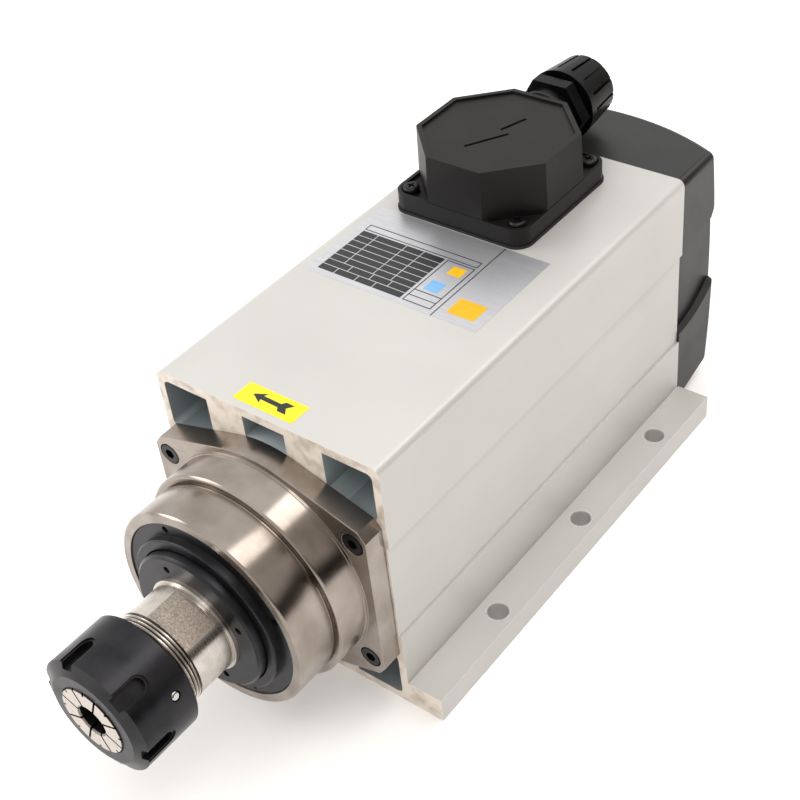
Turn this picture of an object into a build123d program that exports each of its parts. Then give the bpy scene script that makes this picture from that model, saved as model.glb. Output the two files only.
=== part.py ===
from build123d import *
import math
import os

# Air-cooled square motor spindle with a collet chuck, millimetres.
# The origin is the centre of the six base bolt holes on the underside.
# The nose points to -Y, +X is to the right of the nose, +Z is up.

# Extruded housing
housing_width = 108.0
housing_height = 125.0
housing_length = 212.0
housing_corner_radius = 3.5
base_width = 140.0
base_thickness = 12.0
axis_height = 62.5
stator_bore_radius = 46.0
bore_wall = 4.0
side_panel_height = 48.6
side_panel_depth = 1.2
channel_side_wall = 3.5
channel_top_wall = 3.8
corner_channel_width = 22.5
corner_channel_height = 22.2
middle_channel_width = 20.4
channel_round = 2.5
foot_groove_width = 0.8
foot_groove_depth = 0.5

# Base bolts, M8 clearance
base_bolt_inset = 7.5
base_bolt_pitch = 63.0
base_bolt_hole_radius = 4.5
base_bolt_setback = 49.5

# Square end plates, shared by the nose flange and the rear bracket
plate_inset = 2.0
plate_height = 74.0
plate_round_radius = 50.3
plate_corner_chamfer = 3.2
plate_screw_x = 45.5
plate_screw_z = 30.5
spigot_clearance = 0.05
spigot_length = 12.0

# Nose, nickel plated steel
flange_thickness = 9.5
nose_rear_radius = 47.4
nose_rear_length = 16.1
nose_front_radius = 44.6
nose_front_length = 17.6
nose_groove_width = 1.4
nose_groove_depth = 1.1
nose_edge_chamfer = 0.9
nose_ring_width = 0.9
nose_ring_proud = 0.6
cover_ring_radius = 39.9
cover_ring_gap = 0.3
cover_ring_recess = 0.6
cover_ring_thickness = 5.1
cover_boss_radius = 34.6
cover_boss_height = 3.5
cover_bevel = 1.1
pin_hole_radius = 1.5
pin_hole_depth = 2.5
cover_pin_circle = 37.2
ring_pin_circle = 24.6
pin_phase = -22.5

# Labyrinth ring on the shaft
labyrinth_radius = 30.4
labyrinth_gap = 0.5
labyrinth_proud = 3.9
labyrinth_rear_radius = 27.6
labyrinth_step = 5.0
labyrinth_bevel = 1.1

# Spindle shaft
shaft_seat_radius = 20.0
fit_clearance = 0.02
collar_radius = 20.7
collar_length = 1.5
neck_radius = 19.6
neck_length = 17.0
flat_distance = 17.2
flat_length = 12.0
flat_setback = 2.0
flat_phase = 22.5
thread_radius = 19.95
thread_clearance = 0.05
shaft_front_gap = 1.0
rotor_seat_radius = 19.0
rear_seat_radius = 15.0
fan_seat_radius = 10.0
shaft_bore_radius = 6.5
shaft_chamfer = 0.8
shaft_tail = 1.0
socket_end_gap = 2.0

# Collet, 8 degree taper on each side
collet_face_radius = 14.3
collet_bore_radius = 6.35
collet_length = 40.0
collet_cone_length = 4.0
collet_cone_radius = 16.4
collet_groove_radius = 14.4
collet_groove_width = 3.0
collet_land = 1.0
collet_rear_land = 1.0
collet_taper_angle = 8.0
collet_slits = 8
collet_slit_width = 0.9
collet_web = 4.0
collet_tail_web = 5.0
collet_notch_depth = 1.1
collet_lead_in = 0.6
socket_clearance = 0.02

# Collet nut with its captive ring
nut_radius = 25.0
nut_back_distance = 75.7
nut_length = 26.8
nut_chamfer_length = 2.3
nut_face_radius = 19.6
nut_wall_thickness = 1.6
nut_window_radius = 19.2
nut_back_chamfer = 0.6
nut_relief_radius = 20.6
nut_relief_length = 3.0
nut_lip_length = 9.0
nut_slots = 6
nut_slot_width = 7.6
nut_slot_floor_width = 5.6
nut_slot_length = 12.6
nut_slot_depth = 2.9
nut_slot_rim_depth = 0.7
nut_slot_phase = 42.0
plug_radius = 2.0
plug_length = 3.0
plug_round = 1.2
plug_setback = 7.0
plug_phase = 70.4
grip_ring_gap = 0.2
grip_ring_length = 6.9
grip_cone_gap = 0.3
grip_lip_gap = 0.45
grip_bore_radius = 17.2
nut_ball_radius = 1.2
nut_ball_count = 12
nut_ball_setback = 5.5
collet_proud = 0.5

# Front bearings, 40 x 68 x 15 angular contact pair
bearing_width = 15.0
front_bearing_outer = 34.0
front_bearing_inner = 20.0
race_wall = 4.6
ball_radius = 3.9
race_conformity = 0.12
ball_count = 12
cage_wall = 1.2
cage_width = 10.0
spacer_length = 6.0
housing_lip_radius = 30.0
housing_lip_length = 6.0
bearing_fit = 0.02

# Spindle locknut
locknut_radius = 28.0
locknut_length = 9.0
locknut_slots = 4
locknut_slot_width = 5.0
locknut_slot_depth = 3.0

# Motor
stator_length = 110.0
stator_setback = 46.0
air_gap = 0.5
rotor_radius = 29.4
stator_slots = 24
slot_width = 4.2
slot_depth = 9.0
end_turn_length = 17.0
end_turn_wall = 12.0
end_turn_gap = 1.0
end_turn_round = 4.0
slot_liner = 0.2
rotor_end_ring_length = 8.0
rotor_end_ring_wall = 8.0

# Rear bracket and bearing, 30 x 55 x 13
bracket_thickness = 8.0
bracket_width = 94.4
bracket_round_radius = 47.2
bracket_screw_x = 41.5
bracket_hub_wall = 5.5
bracket_hub_length = 12.0
bracket_cap_thickness = 4.0
rear_bearing_outer = 27.5
rear_bearing_width = 13.0
rear_race_wall = 3.9
rear_ball_radius = 3.2
rear_ball_count = 8
spring_width = 2.4
spring_rim = 1.5
spring_side_gap = 0.3
retaining_ring_thickness = 1.5
retaining_ring_height = 2.6
retaining_ring_gap_angle = 50.0

# Fan
fan_radius = 40.0
fan_hub_radius = 16.0
fan_setback = 2.5
fan_disc_thickness = 2.2
fan_blade_length = 10.5
fan_blade_thickness = 2.4
fan_blades = 9
fan_blade_sweep = 26.0
fan_hub_length = 12.7
fan_blade_root = 1.0
key_width = 4.0
key_height = 4.0
key_top_gap = 0.2

# Moulded rear cover
cover_depth = 31.5
cover_bow = 12.5
cover_crown = 4.5
cover_wall = 2.4
cover_foot = 3.2
cover_foot_slope = 16.0
cover_edge_radius = 3.0
cover_inner_radius = 1.5
cover_recess_depth = 3.4
cover_recess_low = 42.8
cover_recess_high = 89.8
cover_recess_length = 31.5
cover_recess_rise = 11.5
cover_recess_bend = 3.4
cover_recess_slope = 1.9
cover_block_length = 26.5
cover_block_corner = 59.0
cover_screw_x = 30.0
cover_screw_z = 35.0
cover_screw_grip = 7.0
cover_boss_wall = 3.0
louvre_count = 7
louvre_pitch = 7.4
louvre_height = 4.4
louvre_width = 66.0
louvre_tilt = 25.0

# Terminal box
box_x = -9.3
box_behind_front = 166.5
gasket_thickness = 1.0
gasket_proud = 0.6
box_width = 66.4
box_lug_thickness = 8.0
box_lug_round = 7.0
box_height = 29.8
box_draft = 1.6
box_wall = 3.0
box_rim_width = 2.2
box_rim_depth = 1.0
box_screw_inset = 6.2
box_screw_grip = 4.2
box_pocket_depth = 1.2
box_pocket_rim = 1.6
lead_hole_offset = -9.2
lead_hole_radius = 6.0

# Terminal board inside the box
board_width = 22.0
board_length = 36.0
board_thickness = 6.0
board_offset = 11.0
board_floor = 1.0
terminal_count = 3
terminal_pitch = 12.0
terminal_radius = 2.0
terminal_height = 9.0
terminal_nut_width = 7.0
terminal_nut_height = 3.2
earth_screw_inset = 4.3

# Cable gland
gland_height_above_top = 18.5
gland_thread_radius = 9.6
gland_seal_ring_thickness = 1.5
gland_collar_radius = 12.8
gland_collar_length = 4.5
gland_hex_width = 29.0
gland_hex_length = 6.0
gland_body_radius = 12.6
gland_body_length = 8.0
gland_finger_radius = 11.4
gland_finger_length = 7.0
gland_finger_count = 8
gland_finger_slot = 1.2
gland_bore_radius = 9.2
gland_inner_radius = 7.6
gland_inner_reach = 1.0
gland_seal_bore = 6.5
gland_seal_length = 9.0
gland_gap = 0.3
dome_front_radius = 16.4
dome_rear_radius = 14.4
dome_length = 22.4
dome_offset = 2.9
dome_mouth_radius = 9.6
dome_end_wall = 2.4
dome_round = 1.8
dome_rib_count = 14
dome_rib_depth = 0.8
dome_rib_width = 1.3
dome_rib_setback = 4.0

# Screws
m5_radius = 2.5
m5_head_radius = 4.25
m5_head_height = 5.0
m5_socket_width = 4.0
m5_socket_depth = 2.5
m5_length = 20.0
m4_radius = 2.0
m4_head_radius = 3.7
m4_head_height = 2.6
cover_screw_length = 30.0
screw_hole_clearance = 0.3
tap_clearance = 0.05
tap_run_out = 2.0
counterbore_clearance = 0.45
cross_width = 0.9
cross_depth = 1.2
cut_past = 1.0

# Places along the spindle, worked out from the front face of the housing
front_face = -(base_bolt_setback + base_bolt_pitch)
rear_face = front_face + housing_length
flange_face = front_face - flange_thickness
nose_step = flange_face - nose_rear_length
nose_face = nose_step - nose_front_length
cover_ring_face = nose_face + cover_ring_recess
bearing_front = cover_ring_face + cover_ring_thickness
cover_boss_face = cover_ring_face - cover_boss_height
labyrinth_face = cover_boss_face - labyrinth_proud
collar_face = labyrinth_face - collar_length
second_bearing_front = bearing_front + bearing_width + spacer_length
bearing_rear = second_bearing_front + bearing_width
locknut_rear = bearing_rear + locknut_length
thread_rear = collar_face - neck_length
nut_back = front_face - nut_back_distance
nut_face = nut_back - nut_length
collet_face = nut_face - collet_proud
grip_ring_face = nut_face + nut_wall_thickness + grip_ring_gap
grip_ring_rear = grip_ring_face + grip_ring_length
shaft_face = grip_ring_rear + shaft_front_gap
stator_front = front_face + stator_setback
stator_rear = stator_front + stator_length
bracket_face = rear_face + bracket_thickness
rear_bearing_front = rear_face - bracket_hub_length
rear_bearing_rear = rear_bearing_front + rear_bearing_width
bracket_cap = rear_bearing_rear + spring_width
bracket_rear = bracket_cap + bracket_cap_thickness
cover_screw_seat = bracket_face + cover_screw_length - cover_screw_grip
fan_front = bracket_rear + fan_setback
fan_hub_rear = fan_front + fan_hub_length
shaft_rear = fan_hub_rear + retaining_ring_thickness + shaft_chamfer + shaft_tail
box_y = front_face + box_behind_front
box_floor = housing_height + gasket_thickness
box_top = box_floor + box_height
gland_z = housing_height + gland_height_above_top
box_rear_wall = box_y + box_width / 2
box_screw_seat = box_floor + box_lug_thickness - box_pocket_depth
lead_hole_x = box_x + lead_hole_offset
board_x = box_x + board_offset
earth_screw_x = box_x - box_width / 2 + box_wall + earth_screw_inset
channel_floor_radius = stator_bore_radius + bore_wall
spindle_axis = Axis((0, 0, axis_height), (0, 1, 0))


# Building helpers

def along_y(sketch, y_start, y_end):
    # A sketch drawn in X and Z, pulled from y_start to y_end
    plane = Plane(origin=(0, y_end, 0), x_dir=(1, 0, 0), z_dir=(0, -1, 0))
    return extrude(plane * sketch, amount=y_end - y_start)


def across_x(sketch, x_start, x_end):
    # A sketch drawn in Y and Z, pulled from x_start to x_end
    plane = Plane(origin=(x_start, 0, 0), x_dir=(0, 1, 0), z_dir=(1, 0, 0))
    return extrude(plane * sketch, amount=x_end - x_start)


def turned(points, x=0.0, z=axis_height):
    # A closed outline of (y, radius) points, turned about a line along Y
    plane = Plane(origin=(x, 0, z), x_dir=(0, 1, 0), z_dir=(1, 0, 0))
    outline = make_face(plane * Polyline(*points, close=True))
    return revolve(outline, Axis((x, 0, z), (0, 1, 0)), 360)


def ring(y_start, y_end, inner, outer, x=0.0, z=axis_height):
    return turned([(y_start, inner), (y_end, inner), (y_end, outer), (y_start, outer)], x, z)


def rod(y_start, y_end, radius, x=0.0, z=axis_height):
    return along_y(Pos(x, z) * Circle(radius), y_start, y_end)


def post(x, y, z_start, z_end, radius):
    return Pos(x, y, z_start) * extrude(Circle(radius), amount=z_end - z_start)


def block(x_range, y_range, z_range):
    size = [high - low for low, high in (x_range, y_range, z_range)]
    centre = [(high + low) / 2 for low, high in (x_range, y_range, z_range)]
    return Pos(*centre) * Box(*size)


def spun(shape, count, first=0.0):
    # Copies about the spindle axis, angles from straight up towards +X
    return [shape.rotate(spindle_axis, first + 360.0 * step / count) for step in range(count)]


def four_corners(half_x, half_z):
    return [(x, axis_height + z) for x in (-half_x, half_x) for z in (-half_z, half_z)]


def group(solids):
    return Compound(children=[solid for solid in solids])


# Housing

def corner_channel():
    # One rectangle in the upper right, floored by the wall round the bore
    right = housing_width / 2 - channel_side_wall
    top = housing_height - channel_top_wall
    window = Pos(right - corner_channel_width / 2, top - corner_channel_height / 2) * Rectangle(
        corner_channel_width, corner_channel_height)
    window -= Pos(0, axis_height) * Circle(channel_floor_radius)
    outer_corners = [v for v in window.vertices() if v.X > right - 0.01]
    return fillet(outer_corners, channel_round)


def middle_channel():
    top = housing_height - channel_top_wall
    height = top - axis_height
    window = Pos(0, top - height / 2) * Rectangle(middle_channel_width, height)
    return window - Pos(0, axis_height) * Circle(channel_floor_radius)


def make_motor_housing():
    shell = Pos(0, housing_height / 2) * Rectangle(housing_width, housing_height)
    shell = fillet(shell.vertices().group_by(Axis.Y)[-1], housing_corner_radius)
    section = shell + Pos(0, base_thickness / 2) * Rectangle(base_width, base_thickness)
    for side in (-1, 1):
        panel_x = side * housing_width / 2
        section -= Pos(panel_x, axis_height) * Rectangle(2 * side_panel_depth, side_panel_height)
        groove_x = side * (housing_width + foot_groove_width) / 2
        section -= Pos(groove_x, base_thickness) * Rectangle(foot_groove_width, 2 * foot_groove_depth)
    section -= Pos(0, axis_height) * Circle(stator_bore_radius)
    upper_right = corner_channel()
    upper_middle = middle_channel()
    for channel in (upper_right, mirror(upper_right, Plane.YZ), upper_middle):
        below = Pos(0, 2 * axis_height) * mirror(channel, Plane.XZ)
        section -= channel
        section -= below
    housing = along_y(section, front_face, rear_face)
    bolt_x = base_width / 2 - base_bolt_inset
    for x in (-bolt_x, bolt_x):
        for step in (-1, 0, 1):
            housing -= post(x, step * base_bolt_pitch, -cut_past, base_thickness + cut_past,
                            base_bolt_hole_radius)
    tapped_depth = m5_length + tap_run_out
    tapped_radius = m5_radius + tap_clearance
    front_reach = flange_thickness - m5_head_height
    for x, z in four_corners(plate_screw_x, plate_screw_z):
        housing -= rod(front_face - cut_past, front_face + tapped_depth - front_reach, tapped_radius, x, z)
    rear_reach = bracket_thickness - m5_head_height
    for x, z in four_corners(bracket_screw_x, plate_screw_z):
        housing -= rod(rear_face - tapped_depth + rear_reach, rear_face + cut_past, tapped_radius, x, z)
    box_tap = housing_height - box_screw_grip - tap_run_out
    for x, y in box_screw_places():
        housing -= post(x, y, box_tap, housing_height + cut_past, m4_radius + tap_clearance)
    housing -= post(lead_hole_x, box_y, axis_height, housing_height + cut_past, lead_hole_radius)
    earth_depth = channel_top_wall + cut_past
    housing -= post(earth_screw_x, box_y, housing_height - earth_depth, housing_height + cut_past,
                    m4_radius + tap_clearance)
    return housing


# End plates and nose

def end_plate_outline(width, round_radius):
    # Tight outline round a circle and a low rectangle, with its four corners cut off
    middle = Pos(0, axis_height) * Circle(round_radius)
    corners = Pos(0, axis_height) * Rectangle(width, plate_height)
    outline = make_hull(middle.edges() + corners.edges())
    sharp = [v for v in outline.vertices() if abs(abs(v.X) - width / 2) < 0.01]
    sharp = [v for v in sharp if abs(v.Y - axis_height) > 1]
    return chamfer(sharp, plate_corner_chamfer)


def make_front_bearing_housing():
    band_edge = nose_step + nose_groove_width
    groove_floor = nose_front_radius - nose_groove_depth
    bore = front_bearing_outer + bearing_fit
    cover_bore = cover_ring_radius + cover_ring_gap
    spigot = stator_bore_radius - spigot_clearance
    spigot_end = front_face + spigot_length
    lip_end = bearing_rear + housing_lip_length
    outer = turned([
        (spigot_end, 0), (spigot_end, spigot), (front_face, spigot), (flange_face, nose_rear_radius),
        (band_edge + nose_edge_chamfer, nose_rear_radius),
        (band_edge, nose_rear_radius - nose_edge_chamfer),
        (band_edge, groove_floor), (nose_step, groove_floor), (nose_step, nose_front_radius),
        (nose_face + nose_edge_chamfer, nose_front_radius),
        (nose_face, nose_front_radius - nose_edge_chamfer), (nose_face, 0)])
    ring_edge = nose_rear_radius + nose_ring_proud
    outer += ring(flange_face - nose_ring_width, flange_face, nose_rear_radius - cut_past, ring_edge)
    plate = end_plate_outline(housing_width - 2 * plate_inset, plate_round_radius)
    outer += along_y(plate, flange_face, front_face)
    outer -= turned([
        (nose_face - cut_past, 0), (nose_face - cut_past, cover_bore), (bearing_front, cover_bore),
        (bearing_front, bore), (bearing_rear, bore), (bearing_rear, housing_lip_radius),
        (lip_end, housing_lip_radius), (lip_end, front_bearing_outer),
        (spigot_end + cut_past, front_bearing_outer), (spigot_end + cut_past, 0)])
    for x, z in four_corners(plate_screw_x, plate_screw_z):
        outer -= rod(flange_face - cut_past, front_face + cut_past, m5_radius + screw_hole_clearance, x, z)
        head = m5_head_radius + counterbore_clearance
        outer -= rod(flange_face - cut_past, flange_face + m5_head_height, head, x, z)
    return outer


def make_bearing_cover_ring():
    opening = labyrinth_radius + labyrinth_gap
    body = turned([
        (cover_ring_face, cover_ring_radius), (bearing_front, cover_ring_radius), (bearing_front, opening),
        (cover_boss_face, opening), (cover_boss_face, cover_boss_radius - cover_bevel / 2),
        (cover_boss_face + cover_bevel / 2, cover_boss_radius), (cover_ring_face, cover_boss_radius)])
    pin = rod(cover_ring_face - cut_past, cover_ring_face + pin_hole_depth, pin_hole_radius,
              z=axis_height + cover_pin_circle)
    return body - spun(pin, 4, pin_phase)


def make_labyrinth_ring():
    bore = shaft_seat_radius + fit_clearance
    step_end = labyrinth_face + labyrinth_step + labyrinth_proud
    body = turned([
        (labyrinth_face, bore), (bearing_front, bore),
        (bearing_front, labyrinth_rear_radius - race_wall / 2),
        (step_end, labyrinth_rear_radius), (step_end, labyrinth_radius),
        (labyrinth_face + labyrinth_bevel, labyrinth_radius),
        (labyrinth_face, labyrinth_radius - labyrinth_bevel)])
    pin = rod(labyrinth_face - cut_past, labyrinth_face + pin_hole_depth, pin_hole_radius,
              z=axis_height + ring_pin_circle)
    return body - spun(pin, 4, pin_phase)


# Spindle shaft

def taper_radius(y, extra=0.0):
    # Radius of the collet taper at y
    taper_front = collet_face + collet_cone_length + collet_land + collet_groove_width + collet_rear_land
    return collet_cone_radius + extra - (y - taper_front) * math.tan(math.radians(collet_taper_angle))


def make_spindle_shaft():
    tail = collet_face + collet_length + socket_end_gap
    rotor_end = stator_rear + rotor_end_ring_length
    shoulder = rear_seat_radius + retaining_ring_height
    outline = [
        (shaft_face, taper_radius(shaft_face, socket_clearance)),
        (shaft_face, thread_radius - shaft_chamfer),
        (shaft_face + shaft_chamfer, thread_radius), (thread_rear, thread_radius),
        (thread_rear, neck_radius), (collar_face, neck_radius), (collar_face, collar_radius),
        (labyrinth_face, collar_radius), (labyrinth_face, shaft_seat_radius),
        (locknut_rear, shaft_seat_radius), (locknut_rear, rotor_seat_radius),
        (rotor_end, rotor_seat_radius), (rotor_end, shoulder), (rear_bearing_front, shoulder),
        (rear_bearing_front, rear_seat_radius), (bracket_rear, rear_seat_radius),
        (bracket_rear, fan_seat_radius), (shaft_rear - shaft_chamfer, fan_seat_radius),
        (shaft_rear, fan_seat_radius - shaft_chamfer), (shaft_rear, 0), (tail + shaft_bore_radius, 0),
        (tail, shaft_bore_radius), (tail, taper_radius(tail, socket_clearance))]
    shaft = turned(outline)
    flat_rear = collar_face - flat_setback
    cut = block((-nut_radius, nut_radius), (flat_rear - flat_length, flat_rear),
                (axis_height + flat_distance, axis_height + nut_radius))
    shaft -= spun(cut, 2, flat_phase)
    for groove, seat in ((fan_hub_rear, fan_seat_radius), (rear_bearing_rear, rear_seat_radius)):
        shaft -= ring(groove, groove + retaining_ring_thickness, seat - retaining_ring_height / 2,
                      seat + cut_past)
    shaft -= key_slot()
    return shaft


def key_slot():
    half = key_width / 2
    seat = axis_height + fan_seat_radius
    return block((-half, half), (fan_front, fan_hub_rear),
                 (seat - key_height / 2, seat + key_height / 2 + key_top_gap))


# Collet and nut

def make_collet():
    cone_end = collet_face + collet_cone_length
    groove_front = cone_end + collet_land
    groove_rear = groove_front + collet_groove_width
    taper_front = groove_rear + collet_rear_land
    tail = collet_face + collet_length
    body = turned([
        (collet_face, collet_bore_radius + collet_lead_in), (collet_face, collet_face_radius),
        (cone_end, collet_cone_radius), (groove_front, collet_cone_radius),
        (groove_front, collet_groove_radius), (groove_rear, collet_groove_radius),
        (groove_rear, collet_cone_radius), (taper_front, collet_cone_radius), (tail, taper_radius(tail)),
        (tail, collet_bore_radius), (collet_face + collet_lead_in, collet_bore_radius)])
    half = collet_slit_width / 2
    reach = collet_cone_radius + cut_past
    across = (axis_height - reach, axis_height + reach)
    front_slit = block((-half, half), (collet_face - cut_past, tail - collet_tail_web), across)
    rear_slit = block((-half, half), (groove_rear + collet_web, tail + cut_past), across)
    body -= [front_slit.rotate(spindle_axis, flat_phase + 360.0 * step / collet_slits)
             for step in range(collet_slits // 2)]
    body -= [rear_slit.rotate(spindle_axis, flat_phase + 360.0 * (step + 0.5) / collet_slits)
             for step in range(collet_slits // 2)]
    notch = block((-half, half), (collet_face - cut_past, collet_face + collet_notch_depth),
                  (axis_height + collet_face_radius - collet_notch_depth, axis_height + reach))
    return body - spun(notch, collet_slits, flat_phase + 180.0 / collet_slits)


def cone_radius(y):
    # Radius of the collet's front cone at y
    slope = (collet_cone_radius - collet_face_radius) / collet_cone_length
    return collet_face_radius + (y - collet_face) * slope


def nut_ball_race():
    # The groove that the captive balls run in, half in the nut and half in the ring
    plane = Plane(origin=(0, nut_face + nut_ball_setback, axis_height), x_dir=(1, 0, 0), z_dir=(0, -1, 0))
    return plane * Torus(nut_window_radius - grip_ring_gap / 2, nut_ball_radius + race_conformity)


def make_collet_nut():
    bore = thread_radius + thread_clearance
    wall_rear = nut_face + nut_wall_thickness
    lip_rear = nut_face + nut_lip_length
    relief_rear = lip_rear + nut_relief_length
    body = turned([
        (nut_back, bore), (nut_back, nut_radius - nut_back_chamfer),
        (nut_back - nut_back_chamfer, nut_radius), (nut_face + nut_chamfer_length, nut_radius),
        (nut_face, nut_face_radius), (nut_face, cone_radius(nut_face) + grip_cone_gap),
        (wall_rear, cone_radius(wall_rear) + grip_cone_gap), (wall_rear, nut_window_radius),
        (lip_rear, nut_window_radius),
        (lip_rear, nut_relief_radius), (relief_rear, nut_relief_radius), (relief_rear, bore)])
    body -= nut_ball_race()
    slot_rear = nut_face + nut_chamfer_length + nut_slot_length
    for width, depth in ((nut_slot_width, nut_slot_rim_depth), (nut_slot_floor_width, nut_slot_depth)):
        floor = axis_height + nut_radius - depth
        end = slot_rear - nut_slot_width / 2
        slot = block((-width / 2, width / 2), (nut_face - cut_past, end),
                     (floor, axis_height + nut_radius + cut_past))
        slot += Pos(0, end, floor) * extrude(Circle(width / 2), amount=depth + cut_past)
        body -= spun(slot, nut_slots, nut_slot_phase)
    hole = post(0, nut_back - plug_setback, axis_height + nut_radius - plug_length,
                axis_height + nut_radius + cut_past, plug_radius + tap_clearance)
    return body - hole.rotate(spindle_axis, plug_phase)


def make_nut_plug():
    # Closes the hole that the balls go in through, its outer end rounded
    plug = extrude(Circle(plug_radius), amount=plug_length)
    plug = fillet(plug.edges().group_by(Axis.Z)[-1], plug_round)
    plug = Pos(0, nut_back - plug_setback, axis_height + nut_radius - plug_length) * plug
    return plug.rotate(spindle_axis, plug_phase)


def make_grip_ring():
    # Its lip sits in the collet groove and pulls the collet out as the nut is undone
    groove_front = collet_face + collet_cone_length + collet_land
    groove_rear = groove_front + collet_groove_width
    mouth = cone_radius(grip_ring_face) + grip_cone_gap
    lip = collet_groove_radius + grip_lip_gap
    widest = collet_cone_radius + grip_cone_gap
    outer = nut_window_radius - grip_ring_gap
    body = turned([
        (grip_ring_face, mouth), (collet_face + collet_cone_length, widest),
        (groove_front + grip_lip_gap, widest), (groove_front + grip_lip_gap, lip),
        (groove_rear - grip_lip_gap, lip),
        (groove_rear - grip_lip_gap, grip_bore_radius), (grip_ring_rear, grip_bore_radius),
        (grip_ring_rear, outer), (grip_ring_face, outer)])
    return body - nut_ball_race()


def make_nut_balls():
    radius = nut_window_radius - grip_ring_gap / 2
    ball = Pos(0, nut_face + nut_ball_setback, axis_height + radius) * Sphere(nut_ball_radius)
    return group(spun(ball, nut_ball_count))


# Rolling bearings, as separate rings, balls and cages

def bearing_parts(front, width, inner, outer, wall, ball, count):
    pitch = (inner + outer) / 2
    middle = front + width / 2
    plane = Plane(origin=(0, middle, axis_height), x_dir=(1, 0, 0), z_dir=(0, -1, 0))
    track = plane * Torus(pitch, ball + race_conformity)
    outer_ring = ring(front, front + width, outer - wall, outer) - track
    inner_ring = ring(front, front + width, inner + fit_clearance, inner + wall) - track
    balls = spun(Pos(0, middle, axis_height + pitch) * Sphere(ball), count)
    return outer_ring, inner_ring, balls


def make_cage(front, width, inner, outer, ball, count):
    pitch = (inner + outer) / 2
    middle = front + width / 2
    cage = ring(middle - cage_width / 2, middle + cage_width / 2,
                pitch - cage_wall / 2, pitch + cage_wall / 2)
    pocket = post(0, middle, axis_height + pitch / 2, axis_height + outer, ball + 2 * race_conformity)
    return cage - spun(pocket, count)


def make_locknut():
    bore = shaft_seat_radius + fit_clearance
    body = ring(bearing_rear, locknut_rear, bore, locknut_radius)
    rim = axis_height + locknut_radius
    slot = block((-locknut_slot_width / 2, locknut_slot_width / 2),
                 (bearing_rear + locknut_length / 3, locknut_rear + cut_past),
                 (rim - locknut_slot_depth, rim + cut_past))
    return body - spun(slot, locknut_slots)


# Motor

def stator_slot(extra=0.0):
    half = slot_width / 2 - extra
    inner = rotor_radius + air_gap
    return block((-half, half), (stator_front - cut_past, stator_rear + cut_past),
                 (axis_height + inner - cut_past, axis_height + inner + slot_depth - extra))


def make_stator_core():
    body = ring(stator_front, stator_rear, rotor_radius + air_gap, stator_bore_radius - fit_clearance)
    return body - spun(stator_slot(), stator_slots)


def make_windings():
    inner = rotor_radius + air_gap + end_turn_gap
    outer = inner + end_turn_wall
    coils = None
    for start in (stator_front - end_turn_length, stator_rear):
        end = start + end_turn_length
        outline = Pos((start + end) / 2, (inner + outer) / 2) * RectangleRounded(
            end - start, outer - inner, end_turn_round)
        plane = Plane(origin=(0, 0, axis_height), x_dir=(0, 1, 0), z_dir=(1, 0, 0))
        turns = revolve(plane * outline, spindle_axis, 360)
        coils = turns if coils is None else coils + turns
    bar = stator_slot(slot_liner) & ring(stator_front - cut_past, stator_rear + cut_past, inner, outer)
    return coils + spun(bar, stator_slots)


def make_rotor_cage():
    inner = rotor_radius - rotor_end_ring_wall
    front = ring(stator_front - rotor_end_ring_length, stator_front, inner, rotor_radius)
    rear = ring(stator_rear, stator_rear + rotor_end_ring_length, inner, rotor_radius)
    return group([front, rear])


# Rear bracket, spring and fan

def make_rear_bracket():
    bore = rear_bearing_outer + bearing_fit
    spigot = stator_bore_radius - spigot_clearance
    hub = bore + bracket_hub_wall
    body = along_y(end_plate_outline(bracket_width, bracket_round_radius), rear_face, bracket_face)
    body += ring(rear_face - spigot_length / 2, rear_face, spigot - channel_side_wall, spigot)
    body += ring(rear_bearing_front, bracket_rear, 0, hub)
    body -= rod(rear_bearing_front - cut_past, bracket_cap, bore)
    body -= rod(bracket_cap - cut_past, bracket_rear + cut_past, rear_bearing_outer - rear_race_wall)
    for x, z in four_corners(bracket_screw_x, plate_screw_z):
        body -= rod(rear_face - cut_past, bracket_face + cut_past, m5_radius + screw_hole_clearance, x, z)
        head = m5_head_radius + counterbore_clearance
        body -= rod(bracket_face - m5_head_height, bracket_face + cut_past, head, x, z)
    for x, z in four_corners(cover_screw_x, cover_screw_z):
        body -= rod(rear_face - cut_past, bracket_face + cut_past, m4_radius + tap_clearance, x, z)
    return body


def make_disc_spring():
    # A coned washer between the outer bearing ring and the bracket
    outer = rear_bearing_outer - spring_side_gap
    inner = rear_bearing_outer - rear_race_wall + spring_side_gap
    return turned([(rear_bearing_rear, outer), (rear_bearing_rear, outer - spring_rim),
                   (bracket_cap, inner), (bracket_cap, inner + spring_rim)])


def retaining_ring(front, seat, thickness):
    # An open ring that snaps into a groove in the shaft
    body = ring(front, front + thickness, seat - retaining_ring_height / 2 + fit_clearance,
                seat + retaining_ring_height)
    half = math.radians(retaining_ring_gap_angle / 2)
    reach = 2 * (seat + retaining_ring_height)
    side = reach * math.sin(half)
    below = -reach * math.cos(half)
    wedge = Pos(0, axis_height) * make_face(Polyline((0, 0), (side, below), (-side, below), close=True))
    return body - along_y(wedge, front - cut_past, front + thickness + cut_past)


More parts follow.
